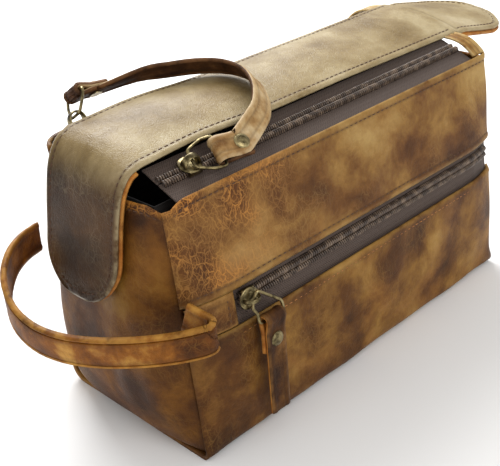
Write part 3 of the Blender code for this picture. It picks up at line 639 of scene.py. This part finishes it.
def end_place(side, bulge):
    margin = LEATHER + GAP + 0.0006

    def place(u, v):
        rim = END_RIM - CORNER_DROP * (1 - ease(u / 0.12)) * (side < 0)
        z = margin + (rim - margin) * v
        front = -inner_half_width(z, FRONT_CORNER, margin)
        rear = inner_half_width(z, REAR_CORNER, margin) - rear_pinch(side * HALF_LENGTH, z)
        y = front + (rear - front) * u
        fullness = math.sin(math.pi * (0.02 + 0.92 * v**0.75)) ** 0.7 * (1 - (2 * u - 1) ** 4)
        folds = 0.0016 * lumps(Vector((0, y * 1.6, z * 0.5)), 5.0, 0.022) * fullness
        return Vector((side * (HALF_LENGTH - END_INSET + bulge * fullness + folds), y, z))

    return place


def sew(name, place, start, end, body, thread=BROWN_THREAD, flip=1.0, count=80):
    """A stitch row on place between two (u, v) spots."""
    route, normals = edge_route(place, start, end, count)
    normals = [n * flip for n in normals]
    lifted = [p + n * -0.0002 for p, n in zip(route, normals)]
    return stitches(name, lifted, normals, thread, body)


def body_skins():
    wrap = wrap_place()
    hide("wrap_leather", 150, 150, wrap, LEATHER, BODY_HIDE, "bag", ["main_wrap"], edges="bt",
         unevenness=0.0011, size=0.03, side=1.0, heat=glowing, seed=1.0)
    length = 0.29
    inset = STITCH_SET / length
    sew("pocket_lip_stitches", wrap, (0.012, inset), (0.988, inset), "bag", AMBER_THREAD, -1.0)
    sew("rear_rim_stitches", wrap, (0.06, 1 - inset), (0.988, 1 - inset), "bag", BROWN_THREAD, -1.0)
    hide("upper_leather", 170, 40, upper_place, LEATHER, FRONT_HIDE, "bag", ["front_upper_panel"], edges="bt",
         unevenness=0.0009, size=0.028, heat=crackled, seed=2.0)
    inset = STITCH_SET / (RIM_HEIGHT - SLOT_HIGH)
    sew("upper_rim_stitches", upper_place, (0.012, 1 - inset), (0.988, 1 - inset), "bag")
    sew("upper_slot_stitches", upper_place, (0.012, inset), (0.988, inset), "bag")
    for word, side, bulge in (("left", -1, LEFT_END_BULGE), ("right", 1, RIGHT_END_BULGE)):
        hide(f"{word}_end_leather", 70, 70, end_place(side, bulge), LEATHER, END_HIDE, "bag",
             [f"{word}_end_panel"], edges="t", unevenness=0.0007, size=0.02, side=-side, heat=lipped,
             seed=3.0 + side)
        inset = STITCH_SET / END_RIM
        sew(f"{word}_end_stitches", end_place(side, bulge), (0.04, 1 - inset), (0.96, 1 - inset), "bag",
            BROWN_THREAD, side)


def patch_place(u, v):
    x = -HALF_LENGTH + 0.001 + (PATCH_RIGHT + HALF_LENGTH - 0.001) * u
    z = SLOT_LOW + GAP + (SLOT_HIGH - SLOT_LOW - 2 * GAP) * v
    return Vector((x, -(half_depth(z) + swell(x, z)) + GAP, z))


def slot_patch():
    hide("patch_leather", 24, 20, patch_place, 0.0016, FRONT_HIDE, "bag", ["pocket_end_patch"], edges="rbt",
         unevenness=0.0002, heat=lambda point: 0.3, seed=6.0)
    sew("patch_stitches", patch_place, (0.84, 0.1), (0.84, 0.9), "bag")


# ---------------------------------------------------------------- lid strip with its two tongues

LEFT_TONGUE_ROUTE = [
    (LID_LEFT - 0.0014, 0, lid_height(LID_LEFT, 0.0) - 0.0002),
    (-0.1255, 0, 0.1535),
    (-0.1320, 0, 0.1440),
    (-0.1365, 0, 0.1290),
    (-0.1405, 0, 0.1110),
    (-0.1440, 0, 0.0970),
    (-0.1460, 0, 0.0850),
]
RIGHT_TONGUE_ROUTE = [
    (LID_RIGHT + GAP, 0, lid_height(LID_RIGHT, 0.0)),
    (0.142, 0, 0.1532),
    (0.158, 0, 0.1505),
    (0.174, 0, 0.1480),
    (0.189, 0, 0.1455),
]
CREASE_DEPTH = 0.0014


def route_length(route):
    return sum((b - a).length for a, b in zip(route, route[1:]))


def tongue_half_width(distance, length, inset=0.0):
    """Half the tongue's width at a distance from its root, with a round tip; inset moves in from its edge."""
    half = LID_HALF_WIDTH - inset
    radius = TONGUE_TIP_RADIUS - inset
    into_tip = distance - (length - TONGUE_TIP_RADIUS)
    if into_tip <= 0:
        return half
    reach = min(into_tip / radius, 0.995)
    return half - radius * (1 - math.sqrt(1 - reach**2))


class Strip:
    """The lid with its left tongue, or the right tongue alone: at(distance, y) is on its top face, with
    distance measured along its middle from the crease at the lid's right end."""

    def __init__(self, side, route, depth=0.0):
        self.side = side
        self.root = LID_LEFT if side < 0 else LID_RIGHT
        self.tongue = smooth_route(route, 10)
        self.tongue_length = route_length(self.tongue)
        self.flat = abs(self.root - LID_RIGHT)
        self.length = self.flat + self.tongue_length
        self.depth = depth
        steps = [0.0]
        for a, b in zip(self.tongue, self.tongue[1:]):
            steps.append(steps[-1] + (b - a).length)
        self.steps = steps

    def middle(self, distance):
        x = float(np.interp(distance, self.steps, [p.x for p in self.tongue]))
        z = float(np.interp(distance, self.steps, [p.z for p in self.tongue]))
        return Vector((x, 0, z))

    def at(self, distance, y):
        if distance <= self.flat:
            x = LID_RIGHT + self.side * distance
            return Vector((x, y, lid_height(x, y) - self.depth))
        run = distance - self.flat
        here = self.middle(run)
        ahead = self.middle(min(run + 0.001, self.tongue_length))
        behind = self.middle(max(run - 0.001, 0.0))
        along = (ahead - behind).normalized()
        outward = Vector((-along.z, 0, along.x)) * self.side
        level = lid_height(self.root, y) - lid_height(self.root, 0.0)
        if self.side < 0:
            level *= max(1 - 2 * run / self.tongue_length, 0.0)
        droop = 0.0016 * ease(run / self.tongue_length) * (y / LID_HALF_WIDTH) ** 2
        if self.side > 0:
            droop += CREASE_DEPTH * math.exp(-((run / 0.006) ** 2))
            droop += 0.0014 * ease(run / 0.02) * (1 - (y / LID_HALF_WIDTH) ** 2)
        return here + Vector((0, y, level)) - outward * (self.depth + droop)

    def half_width(self, distance, inset=0.0):
        return tongue_half_width(max(distance - self.flat, 0.0), self.tongue_length, inset)

    def place(self, u, v, start=0.0):
        distance = start + (self.length - start) * u
        y = -self.side * self.half_width(distance) * (1 - 2 * v)
        return self.at(distance, y)

    def border(self, start, inset):
        """The stitch line: along one edge, round the tip and back along the other."""
        end = self.length - inset
        tip = end - 0.022 + 0.022 * np.sin(np.linspace(0.05, 1.5, 24))
        runs = list(np.linspace(start, end - 0.022, 140)) + list(tip)
        one = [self.at(d, self.half_width(d, inset)) for d in runs]
        other = [self.at(d, -self.half_width(d, inset)) for d in runs]
        return one + other[::-1]

    def normal(self, point):
        if point.x > LID_LEFT and point.x < LID_RIGHT or self.side > 0:
            return Vector((0, 0, 1))
        share = ease((0.158 - point.z) / 0.02)
        return Vector((-share, 0, 1 - 0.85 * share)).normalized()


def lid_strip():
    for word, side, route, nodes, columns in (
        ("left", -1, LEFT_TONGUE_ROUTE, ["lid_panel", "left_tongue_face"], 210),
        ("right", 1, RIGHT_TONGUE_ROUTE, ["right_tongue_face"], 60),
    ):
        strip = Strip(side, route)
        piece = hide(f"lid_strip_{word}", columns, 44, strip.place, LEATHER, LID_HIDE, None, nodes,
                     edges="lrbt", unevenness=0.0005, size=0.03, seed=8.0)
        # Painted shade on the left tongue below the fold.
        if side < 0:
            paint_tongue_shade(piece)
        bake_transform(piece)
        line = strip.border(0.004, STITCH_SET)
        normals = [strip.normal(p) for p in line]
        line = [p - n * 0.0001 for p, n in zip(line, normals)]
        row = stitches(f"{word}_strip_stitches", line, normals, BROWN_THREAD, None)
        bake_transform(row)
        under = Strip(side, route, LEATHER + GAP)
        start = under.flat + 0.003
        backing = [f"{word}_tongue_backing"]
        hide(f"{word}_tongue_lining_leather", 50, 30, lambda u, v: under.place(u, v, start), TONGUE_BACKING,
             UNDER_HIDE, f"{word}_tongue", backing, edges="rbt", unevenness=0.0002, seed=9.0)


def paint_tongue_shade(piece):
    """The tongue below the fold gets painted shade, darker the lower it hangs: painted into the attribute
    'dark'.
    """
    values = [ease((0.156 - v.co.z) / 0.02) if v.co.x < LID_LEFT else 0.0 for v in piece.data.vertices]
    paint(piece, "dark", values)


# ---------------------------------------------------------------- zips


class TapeLine:
    """The slope that one lid zip lies on, front (-1) or rear (+1), from under the lid out to the rim."""

    def __init__(self, side, inner_z, outer_y, outer_z):
        inner = Vector((0, side * TAPE_INNER_Y, inner_z))
        outer = Vector((0, side * outer_y, outer_z))
        self.inner = inner
        self.along = (outer - inner).normalized()
        self.length = (outer - inner).length
        self.middle = CHAIN_SHARE * self.length
        self.up = Vector((1, 0, 0)).cross(self.along) * side

    def point(self, x, distance, height):
        return Vector((x, 0, 0)) + self.inner + self.along * distance + self.up * height


FRONT_LINE = TapeLine(-1, FRONT_TAPE_INNER_Z, FRONT_TAPE_OUTER_Y, FRONT_TAPE_OUTER_Z)
REAR_LINE = TapeLine(1, REAR_TAPE_INNER_Z, REAR_TAPE_OUTER_Y, REAR_TAPE_OUTER_Z)
TOOTH_PATH = ((0.0, 0.45), (0.12, 0.78), (0.38, 1.0), (0.7, 0.92), (0.95, 0.45), (1.0, 0.1))


def coil(name, node, body, reach, place, phase):
    """One side of a coil zip: a row of nylon turns. place(x, w, h) is w across from the meeting line and h
    above the tape."""
    sides = 6
    points, faces = [], []
    count = int((reach[1] - reach[0]) / TOOTH_PITCH)
    for k in range(count):
        x = reach[0] + TOOTH_PITCH * (k + 0.5 + phase)
        start = len(points)
        for step, (across, rise) in enumerate(TOOTH_PATH):
            lean = 0.35 * TOOTH_PITCH * across
            w = COIL_WIDTH * across * 0.97 + 0.00005
            h = (COIL_HEIGHT - TOOTH_RADIUS) * rise
            for s in range(sides):
                turn = math.tau * s / sides
                dx = TOOTH_RADIUS * math.cos(turn)
                dh = TOOTH_RADIUS * math.sin(turn)
                slope = 0.5 if step in (0, 4, 5) else 0.0
                points.append(place(x + lean + dx, w - slope * dh, h + dh))
        rings = len(TOOTH_PATH)
        for ring in range(rings - 1):
            for s in range(sides):
                low = start + ring * sides
                faces.append((low + s, low + (s + 1) % sides, low + sides + (s + 1) % sides, low + sides + s))
        faces.append(tuple(start + s for s in reversed(range(sides))))
        faces.append(tuple(start + (rings - 1) * sides + s for s in range(sides)))
    obj = add_mesh(name, points, faces, COIL_NYLON, body)
    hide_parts(node)


def coils():
    for word, line, left in (("front", FRONT_LINE, FRONT_ZIP_LEFT), ("rear", REAR_LINE, REAR_ZIP_LEFT)):
        for part, body, sign, phase in (("lid", "lid", -1, 0.0), ("body", "bag", 1, 0.5)):
            def place(x, w, h, line=line, sign=sign):
                return line.point(x, line.middle + sign * (CHAIN_HALF_GAP + w), GAP + h)

            reach = (left, ZIP_RIGHT - 0.001)
            coil(f"{word}_{part}_coil_turns", f"{word}_zip_{part}_coil", body, reach, place, phase)
    behind = LEATHER + 2 * GAP
    for part, sign, phase in (("lower", -1, 0.0), ("upper", 1, 0.5)):
        def place(x, w, h, sign=sign):
            z = SLOT_MIDDLE + sign * (CHAIN_HALF_GAP + w)
            return Vector((x, -(half_depth(z) + swell(x, z)) + behind - GAP - h, z))

        reach = (PATCH_RIGHT + 0.002, 0.118)
        coil(f"pocket_{part}_coil_turns", f"pocket_zip_{part}_coil", "bag", reach, place, phase)


def zip_end_bands():
    """A leather band over each lid zip's right end, from under the lid's corner down over the rim."""
    for word, side, rim in (("front", -1, RIM_HEIGHT), ("rear", 1, REAR_RIM_HEIGHT)):
        root = lid_height(BAND_LEFT, side * LID_HALF_WIDTH)
        inner = Vector((0, side * (LID_HALF_WIDTH - 0.0006), root - 0.0014))
        outer = Vector((0, side * (HALF_DEPTH_RIM - 0.0024), rim - 0.0006))

        def place(u, v, inner=inner, outer=outer, side=side):
            bulge = math.sin(math.pi * min(v, 1.0)) * 0.0022
            here = inner.lerp(outer, v)
            return here + Vector((BAND_LEFT + (BAND_RIGHT - BAND_LEFT) * u, side * bulge * 0.5, bulge))

        hide(f"{word}_zip_band", 14, 26, place, 0.0014, BAND_HIDE, "bag", [f"{word}_zip_end_tab"], edges="lr",
             unevenness=0.0003, size=0.01, side=side, seed=15.0)


# ---------------------------------------------------------------- strap, handle and pocket tab

SLIDER_FOOT = 2 * GAP + COIL_HEIGHT
PLATE = 0.0012
SLIDER_LENGTH = 0.0125
SLIDER_HALF_WIDTH = 0.0054
SLIDER_WALL = 0.0012
SLIDER_TAPER = 0.16
SLIDER_FLARE = 1.12
BRIDGE_HALF_LENGTH = 0.0038
BRIDGE_HEIGHT = 0.0054
BRIDGE_WALL = 0.0010
LID_BRIDGE_HALF_WIDTH = 0.0017
POCKET_BRIDGE_HALF_WIDTH = 0.0010
BAR_HEIGHT = 0.0027
FRONT_SLIDER_X = -0.097
REAR_SLIDER_X = -0.106
POCKET_SLIDER_X = -0.0905
WIRE = 0.0008
STRAP_WIDTH = 0.013
STRAP = 0.0020
FOLD_RADIUS = WIRE + STRAP / 2 + 0.0008
LAYER_OFFSET = STRAP / 2 + 0.00025
FOLD_TAIL = 0.017
RIVET_SETBACK = 0.0115
POCKET_TAB_LENGTH = 0.0545
POCKET_TAB_TAIL = 0.019
HANDLE_WIDTH = 0.0165
HANDLE = 0.003
FRONT_BAR = Vector((-0.0815, -0.0400, 0.1480))
REAR_BAR = Vector((-0.1000, 0.0435, 0.1650))
FRONT_BAR_ALONG = Vector((0.0, 0.75, 0.66))
REAR_BAR_ALONG = Vector((0.0, -0.89, 0.45))
STRAP_ROUTE = [
    (-0.0580, -0.0385, 0.1525),
    (-0.0460, -0.0325, 0.1555),
    (-0.0350, -0.0210, 0.1595),
    (-0.0280, -0.0060, 0.1625),
    (-0.0285, 0.0090, 0.1640),
    (-0.0370, 0.0220, 0.1645),
    (-0.0500, 0.0315, 0.1645),
    (-0.0640, 0.0375, 0.1650),
]
POCKET_RING_REACH = Vector((0.0078, -0.0030, -0.0125))
HANDLE_ROUTE = [
    (-0.1275, -0.0580, 0.0880),
    (-0.1255, -0.0650, 0.0855),
    (-0.1240, -0.0705, 0.0835),
    (-0.1265, -0.0745, 0.0825),
    (-0.1320, -0.0725, 0.0815),
    (-0.1420, -0.0630, 0.0795),
    (-0.1530, -0.0490, 0.0775),
    (-0.1620, -0.0330, 0.0755),
    (-0.1685, -0.0150, 0.0740),
    (-0.1715, 0.0030, 0.0745),
    (-0.1705, 0.0200, 0.0785),
    (-0.1640, 0.0350, 0.0850),
    (-0.1530, 0.0460, 0.0905),
    (-0.1410, 0.0530, 0.0925),
    (-0.1285, 0.0580, 0.0920),
]


def square(direction, along):
    return (direction - along * direction.dot(along)).normalized()


def fold(bar, across, leave, tail_side, tail):
    """From a folded end's tail tip, back to the bar and round it, to where the strap lies on its own tail."""
    side = square(square(tail_side, leave), across)
    open_up = 0.55 * (FOLD_RADIUS - LAYER_OFFSET) + LAYER_OFFSET
    spread = ((tail, LAYER_OFFSET), (RIVET_SETBACK, LAYER_OFFSET), (0.0070, LAYER_OFFSET), (0.0032, open_up))
    points = [bar + leave * distance + side * offset for distance, offset in spread]
    for i in range(7):
        turn = math.radians(30 * i)
        points.append(bar + side * FOLD_RADIUS * math.cos(turn) - leave * FOLD_RADIUS * math.sin(turn))
    points += [bar + leave * distance - side * offset for distance, offset in spread[:0:-1]]
    return points


def ribbon_skin(name, route, across, width, thickness, material, body, nodes, back=None, rows=14, finer=4,
                **more):
    """A leather strip along route, its two long edges worn and rounded."""
    fine = []
    wide = []
    for i in range(len(route) - 1):
        for step in range(finer):
            t = step / finer
            fine.append(route[i].lerp(route[i + 1], t))
            wide.append(across[i].lerp(across[i + 1], t).normalized())
    fine.append(route[-1])
    wide.append(across[-1])
    last = len(fine) - 1
    facing = []
    for i in range(last + 1):
        along = (fine[min(i + 1, last)] - fine[max(i - 1, 0)]).normalized()
        wide[i] = square(wide[i], along)
        facing.append(along.cross(wide[i]).normalized())

    def place(u, v):
        i = round(u * last)
        return fine[i] + wide[i] * ((v - 0.5) * width) + facing[i] * (thickness / 2)

    piece = hide(name, last, rows, place, thickness, material, body, nodes, edges="bt", unevenness=0.00015,
                 size=0.012, back=back, **more)
    return piece, fine, wide, facing


def edge_stitches(name, line, body, inset, thread, thickness, width):
    """Stitch rows along both long edges of a ribbon, on its outer face."""
    fine, wide, facing = line
    for word, sign in (("low", -1), ("high", 1)):
        out = sign * (width / 2 - inset)
        route = [p + w * out + f * (thickness / 2 - 0.0001) for p, w, f in zip(fine, wide, facing)]
        stitches(f"{name}_{word}_stitches", route, facing, thread, body)


def superellipse(width, height, count=12):
    """A rounded rectangle section as (across, up) offsets."""
    spots = []
    for k in range(count):
        turn = math.tau * (k + 0.5) / count
        across = math.copysign(abs(math.cos(turn)) ** 0.6, math.cos(turn)) * width / 2
        rise = math.copysign(abs(math.sin(turn)) ** 0.6, math.sin(turn)) * height / 2
        spots.append((across, rise))
    return spots


def slider_skin(name, body, matrix, bridge_half_width):
    """A smooth cast slider: a rounded plate, two side flanges round the chain and the ring's bridge."""
    points, faces = [], []
    under = SLIDER_FOOT
    profile = ((0.0, 0.0), (0.9, 0.0), (0.97, 0.2), (1.0, 0.5), (0.97, 0.82), (0.88, 1.0), (0.5, 1.1),
               (0.0, 1.14))
    around = 48
    for radius, rise in profile:
        for k in range(around):
            turn = math.tau * k / around
            narrow = SLIDER_FLARE * (1 - SLIDER_TAPER * (math.cos(turn) + 1) / 2)
            x = radius * math.cos(turn) * SLIDER_LENGTH / 2
            y = radius * math.sin(turn) * SLIDER_HALF_WIDTH * narrow
            points.append(matrix @ Vector((x, y, under + PLATE * rise)))
    faces += tube_faces(0, len(profile), around)
    flange = superellipse(SLIDER_WALL, under + PLATE - 3 * GAP)
    for sign in (-1, 1):
        start = len(points)
        middle = sign * (COIL_WIDTH + CHAIN_HALF_GAP + GAP + SLIDER_WALL / 2)
        for x, size in ((-0.62, 0.4), (-0.58, 1.0), (0.58, 1.0), (0.62, 0.4)):
            for across, rise in flange:
                height = (under + PLATE + GAP) / 2 + rise * (0.6 + 0.4 * size)
                points.append(matrix @ Vector((x * SLIDER_LENGTH / 2, middle + across * size, height)))
        faces += tube_faces(start, 4, len(flange))
    start = len(points)
    section = superellipse(2 * bridge_half_width, BRIDGE_WALL * 1.1)
    steps = 28
    for i in range(steps + 1):
        turn = math.pi * i / steps
        arch = max(math.sin(turn), 0.0) ** 0.75
        centre = Vector((-(BRIDGE_HALF_LENGTH + BRIDGE_WALL / 2) * math.cos(turn), 0, under + PLATE * 0.6))
        centre.z += (BRIDGE_HEIGHT - 0.1 * BRIDGE_WALL) * arch
        out = Vector((-math.cos(turn), 0, 0.25 + math.sin(turn))).normalized()
        flare = 1.0 + 0.35 * (1 - math.sin(turn)) ** 2
        for across, rise in section:
            points.append(matrix @ (centre + Vector((0, across * flare, 0)) + out * rise))
    faces += tube_faces(start, steps + 1, len(section))
    obj = add_mesh(f"{name}_skin", points, faces, AGED_BRASS, body)
    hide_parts(name)


def tube_faces(start, rings, around):
    """Faces of a closed tube of rings, capped at both ends."""
    faces = []
    for ring in range(rings - 1):
        low = start + ring * around
        for k in range(around):
            after = (k + 1) % around
            faces.append((low + k, low + after, low + around + after, low + around + k))
    faces.append(tuple(start + k for k in reversed(range(around))))
    faces.append(tuple(start + (rings - 1) * around + k for k in range(around)))
    return faces


def track_matrix(origin, across, up):
    matrix = Matrix.Identity(4)
    for i, axis in enumerate((Vector((1, 0, 0)), across, up)):
        matrix.col[i][0:3] = axis
    matrix.col[3][0:3] = origin
    return matrix


def sliders():
    for word, line, x in (("front", FRONT_LINE, FRONT_SLIDER_X), ("rear", REAR_LINE, REAR_SLIDER_X)):
        across = line.up.cross(Vector((1, 0, 0)))
        matrix = track_matrix(line.point(x, line.middle, 0.0), across, line.up)
        slider_skin(f"{word}_slider", f"{word}_slider_body", matrix, LID_BRIDGE_HALF_WIDTH)
    across = (pocket_track(SLOT_MIDDLE + 0.005) - pocket_track(SLOT_MIDDLE - 0.005)).normalized()
    matrix = track_matrix(pocket_track(SLOT_MIDDLE), across, Vector((1, 0, 0)).cross(across))
    slider_skin("pocket_slider", "pocket_slider_body", matrix, POCKET_BRIDGE_HALF_WIDTH)


def bridge_centre(line, x):
    return line.point(x, line.middle, SLIDER_FOOT + PLATE + BAR_HEIGHT)


def lean(point):
    centre = Vector((-0.075, 0.0, point.z))
    inward = (centre - point).normalized()
    return (Vector((0, 0, 1)) * 0.78 + inward * 0.62).normalized()


def turn_in(directions, start, steps):
    first = directions[start - 1]
    for i in range(steps):
        share = (i + 1) / (steps + 1)
        directions[start + i] = (first * (1 - share) + directions[start + i] * share).normalized()


def strap_skin():
    body = [Vector(point) for point in STRAP_ROUTE]
    ends = {}
    for word, line, x, bar, along, meets, tail_side in (
        ("front", FRONT_LINE, FRONT_SLIDER_X, FRONT_BAR, FRONT_BAR_ALONG, body[0], Vector((0, 1, -0.3))),
        ("rear", REAR_LINE, REAR_SLIDER_X, REAR_BAR, REAR_BAR_ALONG, body[-1], Vector((0, 1, 0.3))),
    ):
        across = square(along, (bar - bridge_centre(line, x)).normalized())
        leave = square(meets - bar, across)
        ends[word] = (fold(bar, across, leave, tail_side, FOLD_TAIL), across)
    start, start_across = ends["front"]
    end, end_across = ends["rear"]
    route = start[:-1] + smooth_route([start[-1]] + body + [end[-1]], 3) + end[:-1][::-1]
    across = [lean(point) for point in route]
    for i in range(len(start)):
        across[i] = start_across.copy()
    for i in range(len(end)):
        across[-1 - i] = end_across * (-1.0 if end_across.z < 0 else 1.0)
    turn_in(across, len(start), 4)
    across.reverse()
    turn_in(across, len(end), 4)
    across.reverse()
    ribbon_skin("strap_leather", route, across, STRAP_WIDTH, STRAP, STRAP_HIDE, "strap", ["pull_strap"],
                back=STRAP_BACK, seed=11.0)


def handle_skin():
    route = smooth_route(HANDLE_ROUTE, 4)
    across = [Vector((0, 0, 1)) for _ in route]
    _, *line = ribbon_skin("handle_leather", route, across, HANDLE_WIDTH, HANDLE, HANDLE_HIDE, "handle",
                           ["handle_loop"], back=HANDLE_HIDE, rows=18, finer=3, seed=12.0)
    edge_stitches("handle", line, "handle", 0.0028, BROWN_THREAD, HANDLE, HANDLE_WIDTH)


def pocket_track(z):
    """The pocket zip's line under its slider."""
    return Vector((POCKET_SLIDER_X, -(half_depth(z) + swell(POCKET_SLIDER_X, z)) + LEATHER + GAP, z))


def pocket_tab_skin():
    across = (pocket_track(SLOT_MIDDLE + 0.005) - pocket_track(SLOT_MIDDLE - 0.005)).normalized()
    off = Vector((1, 0, 0)).cross(across)
    bar = pocket_track(SLOT_MIDDLE) + off * (SLIDER_FOOT + PLATE + BAR_HEIGHT) + POCKET_RING_REACH
    level = Vector((1, 0, 0))
    hang = square(Vector((0.03, 0.012, -1.0)), level)
    outside = square(square(Vector((0, -1, 0)), hang), level)
    route = fold(bar, level, hang, -outside, POCKET_TAB_TAIL)
    for length in (0.028, 0.037, 0.046, POCKET_TAB_LENGTH):
        route.append(bar + hang * length + outside * LAYER_OFFSET)
    ribbon_skin("pocket_tab_leather", route, [level.copy() for _ in route], STRAP_WIDTH, STRAP, TAB_HIDE,
                "pocket_tab", ["pocket_pull_tab"], back=UNDER_HIDE, seed=13.0)


body_skins()
slot_patch()
lid_strip()
coils()
zip_end_bands()
sliders()
strap_skin()
handle_skin()
pocket_tab_skin()

# ---------------------------------------------------------------- nodes kept from the model

KEPT = {
    AGED_BRASS: ["front_pull_ring", "rear_pull_ring", "pocket_pull_ring", "front_strap_rivet",
                 "rear_strap_rivet", "pocket_tab_rivet"],
    TAPE_CLOTH: ["front_zip_body_tape", "front_zip_lid_tape", "rear_zip_body_tape", "rear_zip_lid_tape",
                 "pocket_zip_lower_tape", "pocket_zip_upper_tape"],
    LINING_CLOTH: ["lining", "pocket_bag", "lid_lining"],
    BOARD_FIBRE: ["base_board"],
}
for material, names in KEPT.items():
    for name in names:
        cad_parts[name].data.materials.clear()
        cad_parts[name].data.materials.append(material)

# ---------------------------------------------------------------- floor and light


def studio():
    tree = Tree("pale_floor")
    place = tree.add("ShaderNodeTexCoord").outputs["Object"]
    faint = tree.noise(place, 8.0, 2.0)
    tree.feed(tree.shader, {"Base Color": tree.mix(faint, (0.86, 0.86, 0.86, 1), (0.9, 0.9, 0.9, 1))})
    tree.shader.inputs["Roughness"].default_value = 0.9
    reach = 4.0
    corners = [(x * reach, y * reach, -0.0002) for x, y in ((-1, -1), (1, -1), (1, 1), (-1, 1))]
    mesh = bpy.data.meshes.new("floor")
    mesh.from_pydata(corners, [], [(0, 1, 2, 3)])
    mesh.materials.append(tree.material)
    floor = bpy.data.objects.new("floor", mesh)
    bpy.context.scene.collection.objects.link(floor)
    world = bpy.data.worlds.new("studio") if bpy.context.scene.world is None else bpy.context.scene.world
    bpy.context.scene.world = world
    world.use_nodes = True
    world.node_tree.nodes["Background"].inputs[0].default_value = (1.0, 0.99, 0.97, 1.0)
    world.node_tree.nodes["Background"].inputs[1].default_value = 0.75
    bpy.context.scene.view_settings.view_transform = "Standard"
    for name, place, target, size, power in (
        ("top_light", (0.35, 0.75, 0.85), (0.0, 0.0, 0.12), 0.8, 17.0),
        ("front_light", (-0.1, -1.1, 0.9), (0.0, 0.0, 0.06), 0.7, 5.0),
        ("left_light", (-1.1, 0.1, 0.5), (-0.1, 0.0, 0.08), 0.6, 1.0),
    ):
        data = bpy.data.lights.new(name, "AREA")
        data.size = size
        data.energy = power
        light = bpy.data.objects.new(name, data)
        aim = (Vector(place) - Vector(target)).to_track_quat("Z", "Y")
        light.matrix_world = Matrix.Translation(place) @ aim.to_matrix().to_4x4()
        bpy.context.scene.collection.objects.link(light)


studio()
